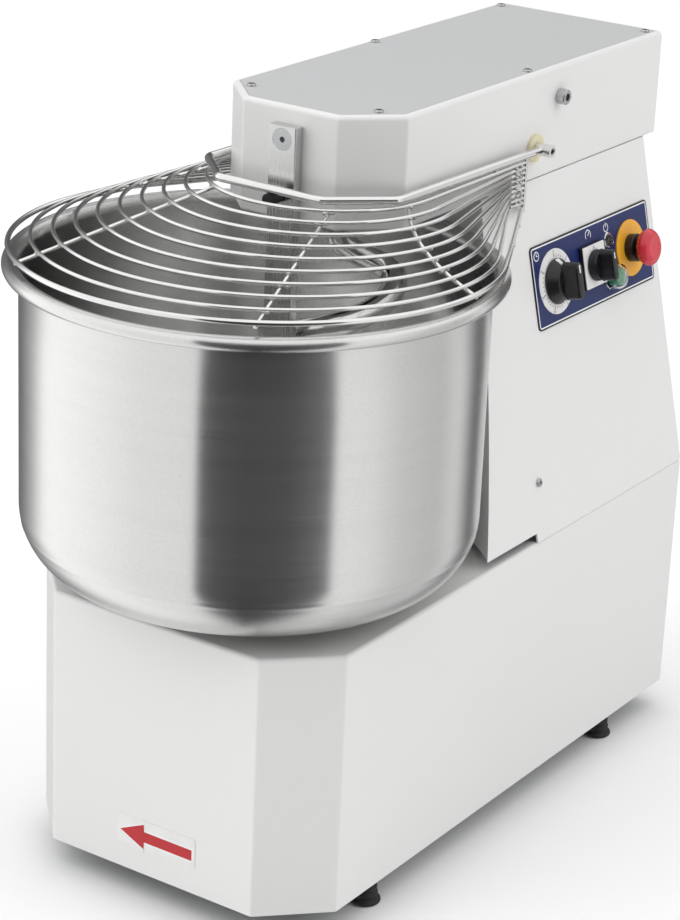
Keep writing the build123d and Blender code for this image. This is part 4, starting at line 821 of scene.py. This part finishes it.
class DOUGHMIXER_OT_timer(MixerOperator, bpy.types.Operator):
    """Make the timer's dial, its scale and its skirted knob"""

    bl_idname = "dough_mixer.timer"
    bl_label = "Timer"

    def execute(self, context):
        dial_radius = 34 * mm
        disc = panel_matrix(timer_place - panel_normal * 1.2 * mm)
        face = 0.8 * mm
        profile = [(4.5 * mm, 0), (dial_radius, 0), (dial_radius, face - 0.3 * mm)]
        profile += [(dial_radius - 0.3 * mm, face), (4.5 * mm, face)]
        dial = lathe(profile, 128, disc, closed=True)
        make_piece(
            "timer_scale_disc", [dial], finishes["dial_white"], root_body, ["timer_dial"]
        )
        long_tick = settings().sizes.tick
        tick_foot, number_radius = 25.6 * mm, 31.7 * mm
        marks = []
        for index in range(31):
            bearing = 90 - index * 10.0
            length = long_tick if index % 5 == 0 else 0.6 * long_tick
            outline = slot_outline(length, (0.9 if index % 5 == 0 else 0.55) * mm, 5)
            turn = Matrix.Rotation(radians(bearing - 90), 4, "Z")
            out = Matrix.Translation((0, tick_foot + length / 2, face))
            marks.append(plate(outline, 0, 0.1 * mm, 0.03 * mm, disc @ turn @ out))
            if index % 5 == 0:
                stand = Matrix.Translation((0, number_radius, face + 0.05 * mm))
                upright = Matrix.Rotation(-radians(bearing - 90), 4, "Z")
                marks.append(text_shape(str(index), 4.0 * mm, disc @ turn @ stand @ upright))
        make_piece("timer_scale", marks, finishes["print_black"], root_body)
        at = panel_matrix(timer_place)
        skirt = [(0, 0.2), (23.4, 0.2), (24, 0.9), (23.8, 2.2), (16.6, 10.4), (15.8, 11.4), (14.4, 12)]
        skirt += [(0, 12.2)]
        grip = slot_outline(40 * mm, 13 * mm, 14)
        steps = [(1.06, 1.02, 11.6 * mm), (1.0, 1.0, 13.0 * mm), (0.97, 0.985, 20 * mm)]
        steps += [(0.93, 0.97, 26.6 * mm), (0.88, 0.95, 27.9 * mm), (0.76, 0.91, 28.75 * mm)]
        steps += [(0.6, 0.86, 28.95 * mm)]
        shapes = [lathe(np.array(skirt) * mm, 128, at), layered(grip, steps, at)]
        make_piece(
            "timer_grip", shapes, finishes["black_plastic"], "timer_knob", ["timer_knob"],
            crease=32.0,
        )
        lean = Matrix.Rotation(radians(-48.7), 4, "X")
        mark = plate(slot_outline(9 * mm, 2.2 * mm, 6), 0, 0.25 * mm, 0.08 * mm)
        corners = np.array([(-2.2, -4.6), (2.2, -4.6), (3.6, 4.6), (-3.6, 4.6)]) * mm
        wedge = plate(corners, -0.1 * mm, 0.3 * mm, 0.08 * mm)
        pointer = placed(wedge, at @ Matrix.Translation((0, 20.2 * mm, 6.3 * mm)) @ lean)
        top = placed(mark, at @ Matrix.Translation((0, 12.5 * mm, 28.85 * mm)))
        make_piece("timer_pointer", [pointer, top], finishes["print_white"], "timer_knob")
        return {"FINISHED"}


class DOUGHMIXER_OT_selector(MixerOperator, bpy.types.Operator):
    """Make the speed selector's plate, figures and knob"""

    bl_idname = "dough_mixer.selector"
    bl_label = "Selector"

    def execute(self, context):
        at = panel_matrix(selector_place)
        base = at @ Matrix.Translation((0, 0, -5.4 * mm))
        body = plate(rounded_rectangle(46 * mm, 46 * mm, 2 * mm), 0, 4.4 * mm, 0.5 * mm, base)
        make_piece(
            "selector_base", [body], finishes["black_plastic"], root_body,
            ["selector_plate"],
        )
        lid = plate(rounded_rectangle(44.6 * mm, 44.6 * mm, 1.6 * mm), 4.3 * mm, 5 * mm, 0.25 * mm, base)
        make_piece("selector_face", [lid], finishes["dial_white"], root_body)
        figure_radius = 19 * mm
        marks = []
        for text, bearing in (("0", 90), ("1", 45), ("2", 0)):
            turn = radians(bearing)
            place = Matrix.Translation((figure_radius * cos(turn), figure_radius * sin(turn), 5.05 * mm))
            marks.append(text_shape(text, 5.0 * mm, base @ place))
        make_piece("selector_figures", marks, finishes["print_black"], root_body)
        skirt = [(0, 0.2 * mm), (16.4 * mm, 0.2 * mm), (17 * mm, 0.9 * mm), (15.9 * mm, 8.2 * mm)]
        skirt += [(15.1 * mm, 9.1 * mm), (0, 9.2 * mm)]
        grip = slot_outline(34 * mm, 11 * mm, 14)
        steps = [(1.08, 1.03, 8.6 * mm), (1.0, 1.0, 10 * mm), (0.95, 0.97, 21.6 * mm)]
        steps += [(0.9, 0.955, 22.9 * mm), (0.78, 0.92, 23.75 * mm), (0.6, 0.86, 23.95 * mm)]
        shapes = [lathe(skirt, 96, at), layered(grip, steps, at)]
        make_piece(
            "selector_grip", shapes, finishes["black_plastic"], "selector_knob",
            ["selector_knob"], crease=32.0,
        )
        mark = plate(slot_outline(7 * mm, 1.6 * mm, 6), 0, 0.2 * mm, 0.06 * mm)
        top = placed(mark, at @ Matrix.Translation((0, 10 * mm, 23.85 * mm)))
        make_piece("selector_pointer", [top], finishes["print_white"], "selector_knob")
        return {"FINISHED"}


class DOUGHMIXER_OT_start(MixerOperator, bpy.types.Operator):
    """Make the start button with its clear boot, and the ring round the power lamp"""

    bl_idname = "dough_mixer.start"
    bl_label = "Start button and lamp"

    def execute(self, context):
        face = on_panel("start_bezel", 0.0) - panel_normal * 1.2 * mm
        at = panel_matrix(face)
        boot = [(0, 15.0), (10.6, 14.7), (12.2, 13.9), (13.1, 12.4), (13.5, 9), (13.7, 1.2), (13.6, 0)]
        boot += [(12.0, 0), (12.0, 9), (11.7, 12.2), (11.0, 13.2), (10.0, 13.8), (0, 14.1)]
        dome = make_piece(
            "start_boot", [lathe(np.array(boot) * mm, 96, at)], finishes["bezel_clear"], root_body,
            ["start_bezel"],
        )
        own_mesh(dome)
        cap = [(0, 1 * mm), (9.4 * mm, 1 * mm), (9.4 * mm, 10.2 * mm)]
        cap += arc((7.2 * mm, 10.6 * mm), 2.2 * mm, 0, 80, 8) + [(6.4 * mm, 12.6 * mm), (0, 12.1 * mm)]
        stem = [(0, -14.4 * mm), (2.8 * mm, -14.4 * mm), (2.8 * mm, 1.4 * mm), (0, 1.4 * mm)]
        shapes = [lathe(cap, 96, at), lathe(stem, 32, at)]
        make_piece(
            "start_cap", shapes, finishes["button_green"], "start_button", ["start_button"]
        )
        lamp = panel_matrix(on_panel("power_lamp", 0.0) - panel_normal * 1.2 * mm)
        ring = [(6.0 * mm, 0), (8 * mm, 0), (8 * mm, 1.4 * mm), (7.4 * mm, 2 * mm), (6.2 * mm, 2 * mm)]
        collar = lathe(ring, 64, lamp, closed=True)
        make_piece("lamp_ring", [collar], finishes["polished"], root_body)
        return {"FINISHED"}


class DOUGHMIXER_OT_stop(MixerOperator, bpy.types.Operator):
    """Make the stop button's mushroom cap with its ribbed grip"""

    bl_idname = "dough_mixer.stop"
    bl_label = "Stop button"

    def execute(self, context):
        place = Vector(joints["estop_twist"]["pos_m"])
        at = panel_matrix(place)
        cap = [(0, 0), (16.2 * mm, 0), (17 * mm, 0.7 * mm), (18.2 * mm, 3.8 * mm), (19.7 * mm, 5.2 * mm)]
        cap += arc((18.4 * mm, 6.8 * mm), 1.6 * mm, -30, 30, 6)
        cap += arc((11.2 * mm, 4.9 * mm), 8.8 * mm, 22, 82, 14)
        cap += [(9.6 * mm, 13.65 * mm), (8.4 * mm, 13.45 * mm), (5 * mm, 13.5 * mm), (0, 13.55 * mm)]
        around = np.linspace(0, 2 * pi, 240, endpoint=False)
        wave = (17.9 + 0.45 * np.cos(24 * around)) * mm
        ribs = np.stack([wave * np.cos(around), wave * np.sin(around)], -1)
        grip = layered(ribs, [(0.93, 0.93, 0.3 * mm), (0.97, 0.97, 1.2 * mm), (1.04, 1.04, 4.6 * mm)], at)
        shapes = [lathe(cap, 128, at), grip]
        make_piece("stop_cap", shapes, finishes["stop_red"], "estop_cap", ["estop_cap"])
        return {"FINISHED"}


class DOUGHMIXER_OT_label(MixerOperator, bpy.types.Operator):
    """Print the arrow that shows which way the bowl turns"""

    bl_idname = "dough_mixer.label"
    bl_label = "Direction label"

    def execute(self, context):
        low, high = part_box("direction_label")
        centre = (low + high) / 2
        turn = Matrix(((1, 0, 0), (0, 0, -1), (0, 1, 0))).to_4x4()
        at = Matrix.Translation((centre.x, low.y, centre.z - 2 * mm)) @ turn
        edge = self.arrow(92 * mm, 33 * mm, 31 * mm, 15.5 * mm, 0.08 * mm)
        make_piece("arrow_edge", [placed(edge, at)], finishes["print_white"], root_body)
        arrow = placed(self.arrow(88 * mm, 27 * mm, 29 * mm, 11.5 * mm, 0.16 * mm), at)
        make_piece("direction_arrow", [arrow], finishes["print_red"], root_body)
        return {"FINISHED"}

    def arrow(self, length, wide, neck, shaft, thick):
        """An arrow that points to -x: seven corners, raised by its thickness and closed at both faces."""
        tip, neck, tail = -length / 2, -length / 2 + neck, length / 2
        outline = np.array([
            (tip, 0), (neck, -wide / 2), (neck, -shaft / 2), (tail, -shaft / 2),
            (tail, shaft / 2), (neck, shaft / 2), (neck, wide / 2),
        ])
        bottom = np.hstack([outline, np.zeros((7, 1))])
        top = np.hstack([outline, np.full((7, 1), thick)])
        heart = np.array([[neck + 1 * mm, 0, thick]])
        foot = heart * np.array([1, 1, 0])
        rings = np.stack([np.repeat(foot, 7, 0), bottom, top, np.repeat(heart, 7, 0)])
        return quads(rings, close_columns=True)


class DOUGHMIXER_OT_stage(MixerOperator, bpy.types.Operator):
    """Set the floor, the studio light and the camera"""

    bl_idname = "dough_mixer.stage"
    bl_label = "Stage"
    aim = Vector((0, 0, 0.4))

    def execute(self, context):
        scene = context.scene
        floor_mesh = bpy.data.meshes.new("floor")
        reach = 30.0
        corners = [(-reach, -reach, 0), (reach, -reach, 0), (reach, reach, 0), (-reach, reach, 0)]
        floor_mesh.from_pydata(corners, [], [(0, 1, 2, 3)])
        floor = bpy.data.objects.new("floor", floor_mesh)
        paper = Finish("pale_floor", Roughness=0.9, Specular_IOR_Level=0.1)
        paper.shader.inputs["Base Color"].default_value = (0.95, 0.95, 0.95, 1)
        floor_mesh.materials.append(paper.material)
        floor.visible_glossy = False
        scene.collection.objects.link(floor)
        azimuth, elevation, roll = radians(33.54), radians(21.38), radians(2.49)
        target, distance = Vector((0.0029, -0.0251, 0.3802)), 2.8185
        back = Vector((sin(azimuth) * cos(elevation), -cos(azimuth) * cos(elevation), sin(elevation)))
        level = Vector((cos(azimuth), sin(azimuth), 0))
        rise = back.cross(level)
        right = cos(roll) * level + sin(roll) * rise
        up = cos(roll) * rise - sin(roll) * level
        view = bpy.data.cameras.new("camera")
        view.lens = 108.0
        view.sensor_width = 36.0
        camera = bpy.data.objects.new("camera", view)
        camera.matrix_world = Matrix.Translation(target + back * distance) @ Matrix(
            (right, up, back)
        ).transposed().to_4x4()
        scene.collection.objects.link(camera)
        scene.camera = camera
        scene.view_settings.view_transform = "Standard"
        self.light_world(scene, azimuth)
        self.softbox("key_light", azimuth - radians(62), elevation=42, distance=3.4, size=2.2, power=14.0)
        self.softbox("fill_light", azimuth + radians(75), elevation=30, distance=3.6, size=1.8, power=8.0)
        return {"FINISHED"}

    def softbox(self, name, bearing, elevation, distance, size, power):
        """A square area light that looks at the machine."""
        lamp = bpy.data.lights.new(name, "AREA")
        lamp.shape = "SQUARE"
        lamp.size = size
        lamp.energy = power
        lift = radians(elevation)
        back = Vector((sin(bearing) * cos(lift), -cos(bearing) * cos(lift), sin(lift)))
        holder = bpy.data.objects.new(name, lamp)
        holder.location = self.aim + back * distance
        holder.rotation_mode = "QUATERNION"
        holder.rotation_quaternion = (-back).to_track_quat("-Z", "Y")
        holder.visible_glossy = False
        bpy.context.scene.collection.objects.link(holder)

    def light_world(self, scene, azimuth):
        """A pale room lights the paint and the floor, and a ring of bright and dark panels lights the steel.

        Both are a ring of bands under a plain ceiling, and a band is (bearing, light), with the bearing in
        degrees from the camera's own side. The ramps and ceilings hold half the light, because a ramp can
        hold no more than 1, and the sum is doubled.
        """
        room = [(-180, 0.25), (-145, 0.45), (-118, 1.15), (-85, 1.95), (-60, 1.40), (-30, 0.30), (5, 0.05)]
        room += [(35, 0.20), (62, 1.00), (90, 1.60), (112, 1.15), (140, 0.45), (180, 0.25)]
        panels = [(-180, 0.10), (-150, 0.20), (-132, 0.55), (-118, 1.30), (-85, 1.14), (-55, 0.96)]
        panels += [(-25, 0.90), (-23, 0.07), (0, 0.05), (20, 0.06), (41, 0.13), (44, 0.95), (62, 0.92)]
        panels += [(80, 0.72), (106, 0.60), (122, 0.86), (138, 0.16), (180, 0.10)]
        world = bpy.data.worlds.new("studio")
        world.use_nodes = True
        sky = Nodes(world.node_tree)
        x, y, z = sky.split(sky.node("ShaderNodeTexCoord", output=0))
        ahead = x * sin(azimuth) - y * cos(azimuth)
        aside = x * cos(azimuth) + y * sin(azimuth)
        bearing = sky.node("ShaderNodeMath", {"operation": "ARCTAN2"}, {0: aside, 1: ahead})
        share = bearing / (2 * pi) + 0.5

        def ring(bands, ceiling, low, high):
            stops = [((turn + 180) / 360, rgba((light / 2,) * 3)) for turn, light in bands]
            walls = sky.node("ShaderNodeValToRGB", {"stops": stops}, {0: share})
            return sky.mix(sky.ease(z, low, high), walls, rgba((ceiling / 2,) * 3))

        for_paint = ring(room, 1.40, 0.50, 0.95)
        for_steel = ring(panels, 1.10, 0.32, 0.55)
        light = sky.mix(sky.node("ShaderNodeLightPath", output="Is Glossy Ray"), for_paint, for_steel)
        backdrop = rgba((0.5, 0.5, 0.5))
        light = sky.mix(sky.node("ShaderNodeLightPath", output="Is Camera Ray"), light, backdrop)
        light = sky.node("ShaderNodeVectorMath", {"operation": "SCALE"}, {0: light, 3: 2.0})
        sky.feed(sky.tree.nodes["Background"].inputs["Color"], light)
        scene.world = world


class DOUGHMIXER_PT_sidebar(bpy.types.Panel):
    """Lists the mixer's pieces in the sidebar"""

    bl_idname = "DOUGHMIXER_PT_sidebar"
    bl_label = "Dough mixer"
    bl_space_type = "VIEW_3D"
    bl_region_type = "UI"
    bl_category = "Mixer"

    def draw(self, context):
        layout = self.layout
        for group in (settings().colours, settings().sizes):
            for name in group.__annotations__:
                layout.prop(group, name)
        for operator in operators:
            layout.operator(operator.bl_idname)


operators = (
    DOUGHMIXER_OT_finishes,
    DOUGHMIXER_OT_bowl,
    DOUGHMIXER_OT_spiral,
    DOUGHMIXER_OT_guard,
    DOUGHMIXER_OT_feet,
    DOUGHMIXER_OT_panel,
    DOUGHMIXER_OT_timer,
    DOUGHMIXER_OT_selector,
    DOUGHMIXER_OT_start,
    DOUGHMIXER_OT_stop,
    DOUGHMIXER_OT_label,
    DOUGHMIXER_OT_stage,
)
classes = (MixerColours, MixerSizes, MixerSettings, *operators, DOUGHMIXER_PT_sidebar)


def register():
    for cls in classes:
        bpy.utils.register_class(cls)
    bpy.types.Scene.dough_mixer = bpy.props.PointerProperty(type=MixerSettings)


def unregister():
    del bpy.types.Scene.dough_mixer
    for cls in reversed(classes):
        bpy.utils.unregister_class(cls)


def main():
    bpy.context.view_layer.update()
    register()
    for operator in operators:
        group, name = operator.bl_idname.split(".")
        getattr(getattr(bpy.ops, group), name)()


if __name__ == "__main__":
    main()
